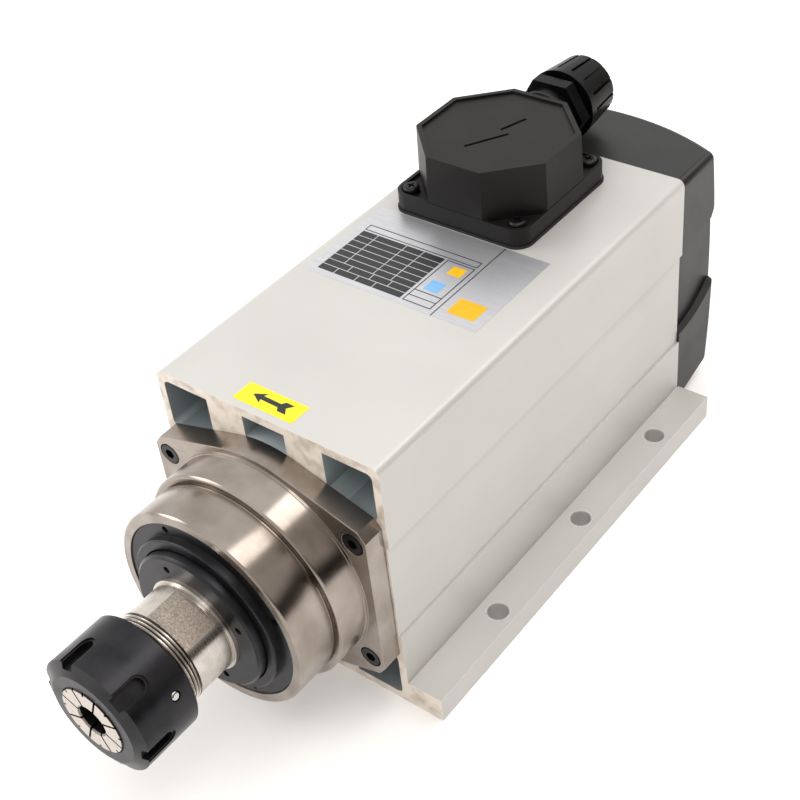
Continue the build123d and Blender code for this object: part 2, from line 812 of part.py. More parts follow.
def make_fan():
    disc_rear = fan_front + fan_disc_thickness
    blade_rear = disc_rear + fan_blade_length
    fan = ring(fan_front, disc_rear, 0, fan_radius)
    fan += ring(fan_front, fan_hub_rear, 0, fan_hub_radius)
    start = Vector(0, fan_hub_radius - fan_blade_root)
    end = Vector(0, fan_radius).rotate(Axis.Z, -fan_blade_sweep)
    middle = Vector(0, (fan_hub_radius + fan_radius) / 2).rotate(Axis.Z, -fan_blade_sweep / 4)
    spine = ThreePointArc(start, middle, end)
    blade = Pos(0, axis_height) * trace(spine, fan_blade_thickness)
    blade = along_y(blade, disc_rear - fan_disc_thickness / 2, blade_rear)
    fan += spun(blade, fan_blades)
    fan -= rod(fan_front - cut_past, fan_hub_rear + cut_past, fan_seat_radius + fit_clearance)
    return fan - key_slot()


def make_fan_key():
    half = key_width / 2 - fit_clearance
    seat = axis_height + fan_seat_radius
    return block((-half, half), (fan_front + fit_clearance, fan_hub_rear - fit_clearance),
                 (seat - key_height / 2, seat + key_height / 2))


# Moulded rear cover

def cover_blank(inset, edge_radius):
    # Outline of the housing with a foot that rises to the rear and a bowed and crowned back
    half = housing_width / 2
    low = cover_foot + inset
    high = housing_height - inset
    back = rear_face + cover_depth + cover_bow
    section = Pos(0, (low + high) / 2) * Rectangle(2 * (half - inset), high - low)
    section = fillet(section.vertices().group_by(Axis.Y)[-1], housing_corner_radius)
    blank = along_y(section, rear_face, back + cut_past)
    foot_rise = (back - rear_face) * math.tan(math.radians(cover_foot_slope))
    side_view = make_face(Polyline(
        (rear_face, low), (back, low + foot_rise), (back, high), (rear_face, high), close=True))
    blank &= across_x(side_view, -half, half)
    bow_radius = (half ** 2 + cover_bow ** 2) / (2 * cover_bow)
    bow_centre = back - bow_radius
    reach = bow_radius - inset
    edge = reach - cover_crown
    crown = ThreePointArc((edge, 0), (reach, housing_height / 2), (edge, housing_height))
    sides = Polyline((edge, 0), (0, 0), (0, housing_height), (edge, housing_height))
    plane = Plane(origin=(0, bow_centre, 0), x_dir=(0, 1, 0), z_dir=(1, 0, 0))
    outline = make_face(plane * (crown + sides))
    blank &= revolve(outline, Axis((0, bow_centre, 0), (0, 0, 1)), 360)
    back_face = blank.faces().sort_by(Axis.Y)[-1]
    return fillet(back_face.edges(), edge_radius)


def cover_recess(inset):
    # Side hollow between the upper and lower corner blocks, drawn from the side
    low = cover_recess_low - inset
    high = cover_recess_high + inset
    start = rear_face - cut_past
    end = rear_face + cover_recess_length
    middle = (start + end) / 2
    past = end + cover_bow
    block_end = rear_face + cover_block_length
    block_low = high + cover_recess_slope
    corner_high = block_low + (past - block_end) * math.tan(math.radians(cover_block_corner))
    step_height = low + cover_recess_rise
    lower_edge = ThreePointArc(
        (start, low), (middle, low + cover_recess_rise / 2 - cover_recess_bend), (end, step_height))
    upper_edge = Polyline(
        (end, step_height), (past, step_height), (past, corner_high), (block_end, block_low),
        (start, high), (start, low))
    outline = make_face(lower_edge + upper_edge)
    outer = housing_width / 2
    depth = cover_recess_depth + inset
    return [across_x(outline, outer - depth, outer + cut_past),
            across_x(outline, -outer - cut_past, depth - outer)]


def make_rear_cover():
    hollow = cover_blank(cover_wall, cover_inner_radius) - cover_recess(cover_wall)
    boss = m4_radius + screw_hole_clearance + cover_boss_wall
    far = rear_face + 2 * cover_depth
    for x, z in four_corners(cover_screw_x, cover_screw_z):
        hollow -= rod(bracket_face, far, boss, x, z)
    shell = cover_blank(0, cover_edge_radius) - cover_recess(0) - hollow
    for x, z in four_corners(cover_screw_x, cover_screw_z):
        shell -= rod(bracket_face - cut_past, far, m4_radius + screw_hole_clearance, x, z)
        shell -= rod(cover_screw_seat, far, m4_head_radius + screw_hole_clearance, x, z)
    back = rear_face + cover_depth + cover_bow
    slot = Rot(louvre_tilt, 0, 0) * Box(louvre_width, 2 * cover_bow, louvre_height)
    first = axis_height - louvre_pitch * (louvre_count - 1) / 2
    for step in range(louvre_count):
        shell -= Pos(0, back - cover_bow / 2, first + step * louvre_pitch) * slot
    return shell


# Screws

def hex_prism(across_flats):
    return RegularPolygon(across_flats / 2, 6, major_radius=False)


def cap_screw(seat_y, x, z, direction):
    # Socket head screw along Y, its head on seat_y and its shank going to direction
    head_y = seat_y - direction * m5_head_height
    tip_y = seat_y + direction * m5_length
    screw = rod(min(seat_y, head_y), max(seat_y, head_y), m5_head_radius, x, z)
    screw += rod(min(seat_y, tip_y), max(seat_y, tip_y), m5_radius, x, z)
    floor_y = head_y + direction * m5_socket_depth
    socket = Pos(x, z) * hex_prism(m5_socket_width)
    return screw - along_y(socket, min(head_y, floor_y), max(head_y, floor_y))


def make_plate_screws(seat_y, screw_x, direction):
    return group([cap_screw(seat_y, x, z, direction) for x, z in four_corners(screw_x, plate_screw_z)])


def pan_screw(length):
    # Cross recess pan head screw standing on the origin, head up
    screw = extrude(Circle(m4_head_radius), amount=m4_head_height)
    screw = fillet(screw.edges().group_by(Axis.Z)[-1], m4_head_height / 2)
    screw += Pos(0, 0, -length) * extrude(Circle(m4_radius), amount=length)
    for width, depth in ((cross_width, m4_head_radius), (m4_head_radius, cross_width)):
        screw -= Pos(0, 0, m4_head_height) * Box(width, depth, 2 * cross_depth)
    return screw


def make_cover_screws():
    lie = Rot(-90, 0, 0)
    screw = lie * pan_screw(cover_screw_length)
    places = four_corners(cover_screw_x, cover_screw_z)
    return group([Pos(x, cover_screw_seat, z) * screw for x, z in places])


def box_screw_places():
    half = box_width / 2 - box_screw_inset
    return [(box_x + x, box_y + y) for x in (-half, half) for y in (-half, half)]


def make_box_screws():
    screw = pan_screw(box_screw_seat - housing_height + box_screw_grip)
    return group([Pos(x, y, box_screw_seat) * screw for x, y in box_screw_places()])


# Terminal box

def octagon(width):
    return RegularPolygon(width / 2, 8, major_radius=False, rotation=22.5)


def make_terminal_box():
    # An octagon with four lugs that fill out its foot to a square
    foot = extrude(RectangleRounded(box_width, box_width, box_lug_round), amount=box_lug_thickness)
    body = extrude(octagon(box_width), amount=box_height, taper=box_draft)
    pocket_width = box_width - 2 * box_pocket_rim
    pocket = RectangleRounded(pocket_width, pocket_width, box_lug_round - box_pocket_rim)
    pocket = Pos(0, 0, box_lug_thickness - box_pocket_depth) * extrude(pocket, amount=box_height)
    middle = box_width * math.tan(math.pi / 8) + 2 * box_pocket_rim
    pocket -= Box(middle, 2 * box_width, 3 * box_height)
    pocket -= Box(2 * box_width, middle, 3 * box_height)
    solid = foot - pocket + body
    top_width = box_width - 2 * box_height * math.tan(math.radians(box_draft))
    rim_sketch = octagon(top_width - 2 * box_rim_width)
    solid -= Pos(0, 0, box_height - box_rim_depth) * extrude(rim_sketch, amount=2 * box_rim_depth)
    solid -= extrude(octagon(box_width - 2 * box_wall), amount=box_height - box_rim_depth - box_wall,
                     taper=box_draft)
    box = Pos(box_x, box_y, box_floor) * solid
    for x, y in box_screw_places():
        box -= post(x, y, box_floor - cut_past, box_screw_seat + cut_past, m4_radius + screw_hole_clearance)
    collar_end = box_rear_wall + gland_seal_ring_thickness + gland_collar_length
    box -= rod(box_rear_wall - 2 * box_wall, collar_end, gland_thread_radius + thread_clearance,
               box_x, gland_z)
    return box - rod(box_rear_wall, collar_end, gland_collar_radius + gland_gap, box_x, gland_z)


def make_box_gasket():
    width = box_width + 2 * gasket_proud
    sheet = RectangleRounded(width, width, box_lug_round + gasket_proud)
    sheet -= octagon(box_width - 2 * box_wall)
    for x, y in box_screw_places():
        sheet -= Pos(x - box_x, y - box_y) * Circle(m4_radius + screw_hole_clearance)
    return Pos(box_x, box_y, housing_height) * extrude(sheet, amount=gasket_thickness)


def terminal_places():
    first = box_y - terminal_pitch * (terminal_count - 1) / 2
    return [(board_x, first + step * terminal_pitch) for step in range(terminal_count)]


def make_terminal_board():
    board = block((board_x - board_width / 2, board_x + board_width / 2),
                  (box_y - board_length / 2, box_y + board_length / 2),
                  (housing_height, housing_height + board_thickness))
    for x, y in terminal_places():
        board -= post(x, y, housing_height + board_floor, housing_height + board_thickness + cut_past,
                      terminal_radius + tap_clearance)
    return board


def make_terminal_studs():
    foot = housing_height + board_floor + tap_clearance
    top = housing_height + board_thickness + terminal_height
    return group([post(x, y, foot, top, terminal_radius) for x, y in terminal_places()])


def make_terminal_nuts():
    seat = housing_height + board_thickness
    blank = extrude(hex_prism(terminal_nut_width) - Circle(terminal_radius + tap_clearance),
                    amount=terminal_nut_height)
    return group([Pos(x, y, seat) * blank for x, y in terminal_places()])


def make_earth_screw():
    return Pos(earth_screw_x, box_y, housing_height) * pan_screw(channel_top_wall)


# Cable gland

def gland_places():
    seal_end = box_rear_wall + gland_seal_ring_thickness
    collar_end = seal_end + gland_collar_length
    hex_end = collar_end + gland_hex_length
    body_end = hex_end + gland_body_length
    return seal_end, collar_end, hex_end, body_end


def gland_tube(y_start, y_end, inner, outer):
    return ring(y_start, y_end, inner, outer, box_x, gland_z)


def make_gland_seal_ring():
    seal_end = gland_places()[0]
    return gland_tube(box_rear_wall, seal_end, gland_thread_radius + thread_clearance, gland_collar_radius)


def make_gland_collar():
    seal_end, collar_end = gland_places()[:2]
    return gland_tube(seal_end, collar_end, gland_thread_radius + thread_clearance, gland_collar_radius)


def make_gland_body():
    collar_end, hex_end, body_end = gland_places()[1:]
    body = gland_tube(box_rear_wall - box_wall - gland_inner_reach, collar_end,
                      gland_inner_radius, gland_thread_radius)
    hexagon = Pos(box_x, gland_z) * hex_prism(gland_hex_width)
    body += along_y(hexagon, collar_end, hex_end)
    body += rod(hex_end, body_end, gland_body_radius, box_x, gland_z)
    fingers_end = body_end + gland_finger_length
    body += rod(body_end, fingers_end, gland_finger_radius, box_x, gland_z)
    body -= rod(collar_end - cut_past, fingers_end + cut_past, gland_bore_radius, box_x, gland_z)
    body -= rod(box_rear_wall - 2 * box_wall, collar_end, gland_inner_radius, box_x, gland_z)
    slot = Pos(box_x, gland_z + gland_finger_radius) * Rectangle(gland_finger_slot, 2 * gland_finger_radius)
    slot = along_y(slot, body_end, fingers_end + cut_past)
    axis = Axis((box_x, 0, gland_z), (0, 1, 0))
    body -= [slot.rotate(axis, 360.0 * step / gland_finger_count) for step in range(gland_finger_count)]
    return body


def make_gland_seal():
    body_end = gland_places()[3]
    return gland_tube(body_end - gland_seal_length / 2, body_end + gland_seal_length, gland_seal_bore,
                      gland_bore_radius - gland_gap)


def make_gland_nut():
    hex_end, body_end = gland_places()[2:]
    front = hex_end + dome_offset
    rear = front + dome_length
    fingers_end = body_end + gland_finger_length + gland_gap
    bore = gland_body_radius + thread_clearance
    shoulder = gland_finger_radius + gland_gap
    body = turned([
        (front, bore), (front, dome_front_radius), (rear - dome_round, dome_rear_radius),
        (rear, dome_rear_radius - dome_round), (rear, dome_mouth_radius),
        (rear - dome_end_wall, dome_mouth_radius), (fingers_end, shoulder), (body_end, shoulder),
        (body_end, bore)], box_x, gland_z)
    rib_floor = dome_rear_radius - dome_rib_depth
    cut = Rectangle(dome_rib_width, dome_front_radius)
    cut = Pos(box_x, gland_z + rib_floor + dome_front_radius / 2) * cut
    cut = along_y(cut, front + dome_rib_setback, rear + cut_past)
    axis = Axis((box_x, 0, gland_z), (0, 1, 0))
    turn = 360.0 / dome_rib_count
    return body - [cut.rotate(axis, turn * (step + 0.5)) for step in range(dome_rib_count)]


# Assembly

def all_nodes():
    front_outer, front_inner, front_balls = [], [], []
    cages = []
    for front in (bearing_front, second_bearing_front):
        outer_ring, inner_ring, balls = bearing_parts(
            front, bearing_width, front_bearing_inner, front_bearing_outer, race_wall, ball_radius,
            ball_count)
        front_outer.append(outer_ring)
        front_inner.append(inner_ring)
        front_balls += balls
        cages.append(make_cage(front, bearing_width, front_bearing_inner, front_bearing_outer, ball_radius,
                               ball_count))
    rear_outer, rear_inner, rear_balls = bearing_parts(
        rear_bearing_front, rear_bearing_width, rear_seat_radius, rear_bearing_outer, rear_race_wall,
        rear_ball_radius, rear_ball_count)
    gap_front = bearing_front + bearing_width
    outer_spacer = ring(gap_front, second_bearing_front, front_bearing_outer - race_wall,
                        front_bearing_outer)
    inner_spacer = ring(gap_front, second_bearing_front, front_bearing_inner + fit_clearance,
                        front_bearing_inner + race_wall)
    rotor = ring(stator_front, stator_rear, rotor_seat_radius + fit_clearance, rotor_radius)
    return {
        "motor_housing": make_motor_housing(),
        "front_bearing_housing": make_front_bearing_housing(),
        "front_flange_screws": make_plate_screws(flange_face + m5_head_height, plate_screw_x, 1),
        "bearing_cover_ring": make_bearing_cover_ring(),
        "labyrinth_ring": make_labyrinth_ring(),
        "spindle_shaft": make_spindle_shaft(),
        "collet": make_collet(),
        "collet_nut": make_collet_nut(),
        "nut_grip_ring": make_grip_ring(),
        "nut_balls": make_nut_balls(),
        "nut_plug": make_nut_plug(),
        "front_bearing_outer_rings": group(front_outer),
        "front_bearing_inner_rings": group(front_inner),
        "front_bearing_balls": group(front_balls),
        "front_bearing_cages": group(cages),
        "outer_spacer": outer_spacer,
        "inner_spacer": inner_spacer,
        "spindle_locknut": make_locknut(),
        "stator_core": make_stator_core(),
        "stator_windings": make_windings(),
        "rotor_core": rotor,
        "rotor_cage_rings": make_rotor_cage(),
        "rear_bracket": make_rear_bracket(),
        "rear_bracket_screws": make_plate_screws(bracket_face - m5_head_height, bracket_screw_x, -1),
        "rear_bearing_outer_ring": rear_outer,
        "rear_bearing_inner_ring": rear_inner,
        "rear_bearing_balls": group(rear_balls),
        "disc_spring": make_disc_spring(),
        "rear_retaining_ring": retaining_ring(
            rear_bearing_rear, rear_seat_radius, retaining_ring_thickness),
        "fan": make_fan(),
        "fan_key": make_fan_key(),
        "fan_retaining_ring": retaining_ring(fan_hub_rear, fan_seat_radius, retaining_ring_thickness),
        "rear_cover": make_rear_cover(),
        "rear_cover_screws": make_cover_screws(),
        "terminal_box": make_terminal_box(),
        "terminal_box_gasket": make_box_gasket(),
        "terminal_box_screws": make_box_screws(),
        "terminal_board": make_terminal_board(),
        "terminal_studs": make_terminal_studs(),
        "terminal_nuts": make_terminal_nuts(),
        "earth_screw": make_earth_screw(),
        "gland_seal_ring": make_gland_seal_ring(),
        "gland_collar": make_gland_collar(),
        "gland_body": make_gland_body(),
        "gland_seal": make_gland_seal(),
        "gland_nut": make_gland_nut(),
    }


os.makedirs("parts", exist_ok=True)
for name, shape in all_nodes().items():
    export_step(shape, os.path.join("parts", name + ".step"))
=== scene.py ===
import bmesh
import bpy
import math
from mathutils import Matrix, Vector


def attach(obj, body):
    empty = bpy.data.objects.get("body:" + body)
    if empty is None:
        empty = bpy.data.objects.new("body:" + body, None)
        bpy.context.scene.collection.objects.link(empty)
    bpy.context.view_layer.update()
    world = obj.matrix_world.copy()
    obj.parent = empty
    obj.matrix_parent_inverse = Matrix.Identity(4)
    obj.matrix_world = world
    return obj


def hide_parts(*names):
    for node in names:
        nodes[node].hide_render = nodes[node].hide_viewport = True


# Motor spindle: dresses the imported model, sizes in millimetres unless a line says otherwise

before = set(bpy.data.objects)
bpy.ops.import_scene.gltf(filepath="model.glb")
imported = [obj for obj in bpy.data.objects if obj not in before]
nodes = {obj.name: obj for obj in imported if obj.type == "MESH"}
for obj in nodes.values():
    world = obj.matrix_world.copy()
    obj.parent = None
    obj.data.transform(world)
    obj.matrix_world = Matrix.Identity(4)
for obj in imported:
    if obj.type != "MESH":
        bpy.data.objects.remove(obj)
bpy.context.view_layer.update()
mm = 0.001
spindleCentre = (0.0, 0.0, 62.5)  # a point on the spindle's axis, which runs along Y
glandCentre = (-9.3, 0.0, 143.5)
housingTop = 125.0
weldReach = 0.001  # points nearer to each other than this become one
print("frame loaded:", len(nodes), "nodes")


def addObject(name, data):
    made = bpy.data.objects.new(name, data)
    bpy.context.scene.collection.objects.link(made)
    return made


# Camera

cameraView = {
    "place": (301.5, -372.4, 453.6),
    "azimuth": 41.95,  # degrees round from the nose side
    "elevation": 39.75,
    "roll": -7.01,
    "lens": 64.4,
    "sensor": 36,
    "nearest": 10,  # nothing nearer is drawn
}


def makeCamera(view):
    azimuth, elevation, roll = (math.radians(view[key]) for key in ("azimuth", "elevation", "roll"))
    back = Vector((math.sin(azimuth) * math.cos(elevation), -math.cos(azimuth) * math.cos(elevation),
                   math.sin(elevation)))
    right = Vector((math.cos(azimuth), math.sin(azimuth), 0))
    up = back.cross(right)
    across = math.cos(roll) * right + math.sin(roll) * up
    upright = math.cos(roll) * up - math.sin(roll) * right
    data = bpy.data.cameras.new("photoCamera")
    data.lens = view["lens"]
    data.sensor_width = view["sensor"]
    data.clip_start = view["nearest"] * mm
    camera = addObject("photoCamera", data)
    turn = Matrix((across, upright, back)).transposed().to_4x4()
    camera.matrix_world = Matrix.Translation(Vector(view["place"]) * mm) @ turn
    bpy.context.scene.camera = camera


makeCamera(cameraView)
print("camera placed")


# Material helpers

def linearColour(code):
    # sRGB hex to the linear values that a shader takes
    parts = [int(code[place:place + 2], 16) / 255 for place in (1, 3, 5)]
    return [part / 12.92 if part <= 0.04045 else ((part + 0.055) / 1.055) ** 2.4 for part in parts] + [1.0]


def feedNode(tree, node, inputs):
    # An input is a value, a hex colour, a socket, or a node that feeds it from its live output
    for name, source in inputs.items():
        if isinstance(source, bpy.types.Node):
            source = next(output for output in source.outputs if output.enabled)
        if isinstance(source, bpy.types.NodeSocket):
            tree.links.new(source, node.inputs[name])
        else:
            node.inputs[name].default_value = linearColour(source) if isinstance(source, str) else source


def addNode(tree, kind, inputs, **settings):
    # A node with its settings and links; a colour mix takes its factor at 0 and its colours at 6 and 7
    node = tree.nodes.new("ShaderNode" + kind)
    for name, value in settings.items():
        setattr(node, name, value)
    feedNode(tree, node, inputs)
    return node


def startMaterial(finish):
    # The shader with the finish's fixed values on its own sockets
    material = bpy.data.materials.new(finish["name"])
    material.use_nodes = True
    tree = material.node_tree
    tree.nodes.clear()
    shader = addNode(tree, "BsdfPrincipled", {"Base Color": finish["colour"], **finish["shader"]})
    addNode(tree, "OutputMaterial", {"Surface": shader})
    if "Anisotropic" in finish["shader"]:  # turning marks run round the axis, so reflections smear along it
        feedNode(tree, shader, {"Tangent": addNode(tree, "Tangent", {}, direction_type="RADIAL", axis="Y")})
    return material, tree, shader, addNode(tree, "TexCoord", {})


def roundTheAxis(tree, place):
    # Distance from the spindle's axis and length along it, so a pattern runs round the piece
    away = addNode(tree, "VectorMath", {0: place, 1: [value * mm for value in spindleCentre]},
                   operation="SUBTRACT")
    flat = addNode(tree, "VectorMath", {0: away, 1: (1, 0, 1)}, operation="MULTIPLY")
    radius = addNode(tree, "VectorMath", {0: flat}, operation="LENGTH")
    along = addNode(tree, "SeparateXYZ", {0: away})
    return addNode(tree, "CombineXYZ", {"X": radius, "Y": along.outputs["Y"]})


def patches(tree, place, size, detail=3.0, stretch=(1, 1, 1)):
    # Soft random patches about size millimetres across
    stretched = addNode(tree, "VectorMath", {0: place, 1: stretch}, operation="MULTIPLY")
    return addNode(tree, "TexNoise", {"Vector": stretched, "Scale": 1 / (size * mm), "Detail": detail})


def endFaces(tree, place, start, end):
    # 1 on faces that look along the spindle's axis, 0 on the rest
    facing = addNode(tree, "SeparateXYZ", {0: place.outputs["Normal"]})
    along = addNode(tree, "Math", {0: facing.outputs["Y"]}, operation="ABSOLUTE")
    return addNode(tree, "MapRange", {"Value": along, "From Min": start, "From Max": end})


def tint(tree, pattern, first, second, start=0.3, end=0.7, most=1.0):
    # A colour that goes from first towards second while the pattern rises from start to end
    amount = addNode(tree, "MapRange", {"Value": pattern, "From Min": start, "From Max": end,
                                        "To Max": most})
    return addNode(tree, "Mix", {0: amount, 6: first, 7: second}, data_type="RGBA")


def finishSurface(tree, shader, finish, shade, wear, height=None):
    # Colour, a roughness that follows the wear pattern, and relief where there is a height pattern
    middle, spread = finish["shader"]["Roughness"], finish["spread"]
    start, end = finish.get("wearFrom", (0.3, 0.7))
    rough = addNode(tree, "MapRange", {"Value": wear, "From Min": start, "From Max": end,
                                       "To Min": middle - spread, "To Max": middle + spread})
    feedNode(tree, shader, {"Base Color": shade, "Roughness": rough})
    if height is None:
        return None
    relief = addNode(tree, "Bump", {"Height": height, "Distance": finish["depth"] * mm})
    feedNode(tree, shader, {"Normal": relief})
    return relief


# Anodised aluminium: extruded, etched satin and clear anodised, so it shines softly and evenly,
# with faint die lines along its length, painted shade on the channel walls and mottled sawn ends
anodisedAluminium = {
    "name": "anodisedAluminium",
    "colour": "#CFCDCA",
    "cloud": "#C9C7C4",
    "cloudSize": 60.0,
    # painted shade: the channel walls take a darker bluish grey that stands in for the shade inside them
    "channel": "#A9B2B6",
    "channelSide": 50.6,  # channel walls lie nearer to the middle than this
    "channelTop": 121.3,
    "channelFade": 0.1,
    "sawnEnd": "#E6DCD0",
    "endStain": "#BBAC9C",
    "stainSize": 7.0,
    "stainFrom": (0.45, 0.7),
    "endsFrom": (85.0, 86.0),  # from the middle, past the base holes
    "endFacing": (0.8, 0.9),
    "sawnMetallic": 0.1,
    "dieLine": 0.9,  # real ones are finer than a tenth of this
    "dieStretch": (1, 0.004, 1),
    "sawMark": 0.8,
    "sawStretch": (0.12, 1, 1),
    "depth": 0.006,
    "grit": 0.5,  # etched grain, coarser than real so that it shows
    "gritDepth": 0.004,
    "spread": 0.045,
    "shader": {"Metallic": 0.3, "Roughness": 0.455},
}


def makeAnodisedAluminium(finish):
    material, tree, shader, place = startMaterial(finish)
    where = place.outputs["Object"]
    spot = addNode(tree, "SeparateXYZ", {0: where})
    across = addNode(tree, "Math", {0: spot.outputs["X"]}, operation="ABSOLUTE")
    length = addNode(tree, "Math", {0: spot.outputs["Y"]}, operation="ABSOLUTE")
    fade = finish["channelFade"] * mm
    inside = [addNode(tree, "MapRange", {"Value": distance, "From Min": limit * mm,
                                         "From Max": limit * mm + fade, "To Min": 1.0, "To Max": 0.0})
              for distance, limit in ((across, finish["channelSide"]),
                                      (spot.outputs["Z"], finish["channelTop"]))]
    inner = addNode(tree, "Math", dict(enumerate(inside)), operation="MULTIPLY")
    start, end = finish["endsFrom"]
    nearEnd = addNode(tree, "MapRange", {"Value": length, "From Min": start * mm, "From Max": end * mm})
    sawn = addNode(tree, "Math", {0: nearEnd, 1: endFaces(tree, place, *finish["endFacing"])},
                   operation="MULTIPLY")
    skin = tint(tree, patches(tree, where, finish["cloudSize"]), finish["colour"], finish["cloud"])
    # painted shade: inside the channels the skin colour gives way to the darker bluish grey
    walls = addNode(tree, "Mix", {0: inner, 6: skin, 7: finish["channel"]}, data_type="RGBA")
    ends = tint(tree, patches(tree, where, finish["stainSize"], detail=6.0),
                finish["sawnEnd"], finish["endStain"], *finish["stainFrom"])
    shade = addNode(tree, "Mix", {0: sawn, 6: walls, 7: ends}, data_type="RGBA")
    dieLines = patches(tree, where, finish["dieLine"], detail=2.0, stretch=finish["dieStretch"])
    sawMarks = patches(tree, where, finish["sawMark"], stretch=finish["sawStretch"])
    streak = addNode(tree, "Mix", {0: sawn, 2: dieLines, 3: sawMarks}, data_type="FLOAT")
    relief = finishSurface(tree, shader, finish, shade, streak, streak)
    grit = patches(tree, where, finish["grit"], detail=1.0)
    feedNode(tree, relief, {"Normal": addNode(tree, "Bump", {"Height": grit,
                                                             "Distance": finish["gritDepth"] * mm})})
    feedNode(tree, shader, {"Metallic": addNode(tree, "MapRange", {
        "Value": sawn, "To Min": finish["shader"]["Metallic"], "To Max": finish["sawnMetallic"]})})
    return material


# Nickel plated steel: turned and plated, a grey-brown mirror softened by fine turning rings
nickelPlate = {
    "name": "nickelPlatedSteel",
    "colour": "#A89F97",
    "warm": "#8E847B",
    "ringSpacing": 0.5,  # real feed marks are about 0.1
    "depth": 0.0016,
    "stain": 14.0,
    "spread": 0.04,
    "wearFrom": (0.1, 0.5),
    "shader": {"Metallic": 1.0, "Roughness": 0.24, "Anisotropic": 0.8, "Anisotropic Rotation": 0.25},
}


def makeNickelPlate(finish):
    material, tree, shader, place = startMaterial(finish)
    where = place.outputs["Object"]
    rings = patches(tree, roundTheAxis(tree, where), finish["ringSpacing"], detail=4.0)
    stain = patches(tree, where, finish["stain"], detail=4.0)
    worn = addNode(tree, "Math", {0: rings, 1: stain}, operation="MULTIPLY")
    shade = tint(tree, stain, finish["colour"], finish["warm"])
    finishSurface(tree, shader, finish, shade, worn, rings)
    return material


# Bare steel: ground and turned, bright and cool, with rings round the axis
groundSteel = {
    "name": "groundSteel",
    "colour": "#D6CFC8",
    "dull": "#B4ADA5",
    "ringSpacing": 0.35,
    "stain": 5.0,
    "shader": {"Metallic": 1.0, "Roughness": 0.27, "Anisotropic": 0.7, "Anisotropic Rotation": 0.25},
}
turnedMarks = {"depth": 0.0012, "spread": 0.07, "mostDull": 0.7}  # what all turned pieces share


def makeTurned(finish):
    material, tree, shader, place = startMaterial(finish)
    where = place.outputs["Object"]
    rings = patches(tree, roundTheAxis(tree, where), finish["ringSpacing"])
    stain = patches(tree, where, finish["stain"], detail=4.0)
    shade = tint(tree, stain, finish["colour"], finish["dull"], most=turnedMarks["mostDull"])
    finishSurface(tree, shader, {**turnedMarks, **finish}, shade, rings, rings)
    return material


# Cut thread: the same steel, with clean crests and painted shade darkening the roots
cutThread = {
    "name": "cutThreadSteel",
    "colour": "#DCD5CE",
    # painted shade: the dark root colour stands in for the shade in the thread's grooves
    "root": "#4A443F",
    "rootRadius": 19.15,
    "crestRadius": 19.7,
    "stain": 1.5,
    "spread": 0.05,
    "shader": {"Metallic": 1.0, "Roughness": 0.31},
}


def makeCutThread(finish):
    material, tree, shader, place = startMaterial(finish)
    where = place.outputs["Object"]
    spot = addNode(tree, "SeparateXYZ", {0: roundTheAxis(tree, where)})
    # painted shade: darker from the crest radius down to the roots
    shade = tint(tree, spot.outputs["X"], finish["root"], finish["colour"],
                 finish["rootRadius"] * mm, finish["crestRadius"] * mm)
    finishSurface(tree, shader, finish, shade, patches(tree, where, finish["stain"]))
    return material


# Black oxide steel: turned, blackened and oiled, near black with a soft cool sheen
blackOxide = {
    "name": "blackOxideSteel",
    "colour": "#28282B",
    "worn": "#353437",
    "ringSpacing": 0.4,
    "depth": 0.0012,
    "patch": 9.0,
    "spread": 0.065,
    "shader": {"Metallic": 0.85, "Roughness": 0.335},
}


def makeBlackOxide(finish):
    material, tree, shader, place = startMaterial(finish)
    where = place.outputs["Object"]
    rings = patches(tree, roundTheAxis(tree, where), finish["ringSpacing"])
    patch = patches(tree, where, finish["patch"], detail=4.0)
    finishSurface(tree, shader, finish, tint(tree, patch, finish["colour"], finish["worn"]), patch, rings)
    return material


# Glass filled nylon: moulded against a spark eroded tool, black and matt with a fine even grain
mouldedNylon = {
    "name": "mouldedNylon",
    "colour": "#0F0C0C",
    "scuff": "#171414",
    "grain": 0.55,  # the real grain is about half of this
    "depth": 0.02,
    "flow": 18.0,
    "spread": 0.05,
    "shader": {"Metallic": 0.0, "Roughness": 0.46, "IOR": 1.53, "Specular IOR Level": 0.24},
}

# Gland nylon: smooth moulded, black with a soft shine
glandNylon = {
    "name": "glandNylon",
    "colour": "#060607",
    "scuff": "#0B0B0C",
    "grain": 0.9,
    "depth": 0.004,
    "flow": 9.0,
    "spread": 0.05,
    "shader": {"Metallic": 0.0, "Roughness": 0.3, "IOR": 1.53, "Specular IOR Level": 0.12},
}

# Cover plastic: the rear cover, moulded matt and a little greyer than the box
coverPlastic = {
    "name": "coverPlastic",
    "colour": "#0E0D0E",
    "scuff": "#151415",
    "grain": 0.6,
    "depth": 0.015,
    "flow": 22.0,
    "spread": 0.05,
    "shader": {"Metallic": 0.0, "Roughness": 0.42, "IOR": 1.53, "Specular IOR Level": 0.45},
}

# Rubber: moulded, black and dull with a dusty bloom
sealRubber = {
    "name": "sealRubber",
    "colour": "#141414",
    "scuff": "#232322",
    "grain": 0.7,
    "depth": 0.01,
    "flow": 6.0,
    "spread": 0.08,
    "shader": {"Metallic": 0.0, "Roughness": 0.75, "IOR": 1.52},
}

# Phenolic board and cage plastic: pressed, red-brown and dull
phenolic = {
    "name": "phenolicBoard",
    "colour": "#6E3A22",
    "scuff": "#5C2F1B",
    "grain": 0.8,
    "depth": 0.01,
    "flow": 5.0,
    "spread": 0.05,
    "shader": {"Metallic": 0.0, "Roughness": 0.55, "IOR": 1.6},
}

# Die cast aluminium: grey and matt with a slightly rough skin
castAluminium = {
    "name": "castAluminium",
    "colour": "#A9A8A6",
    "scuff": "#979694",
    "grain": 0.8,
    "depth": 0.02,
    "flow": 12.0,
    "spread": 0.05,
    "shader": {"Metallic": 1.0, "Roughness": 0.5},
}

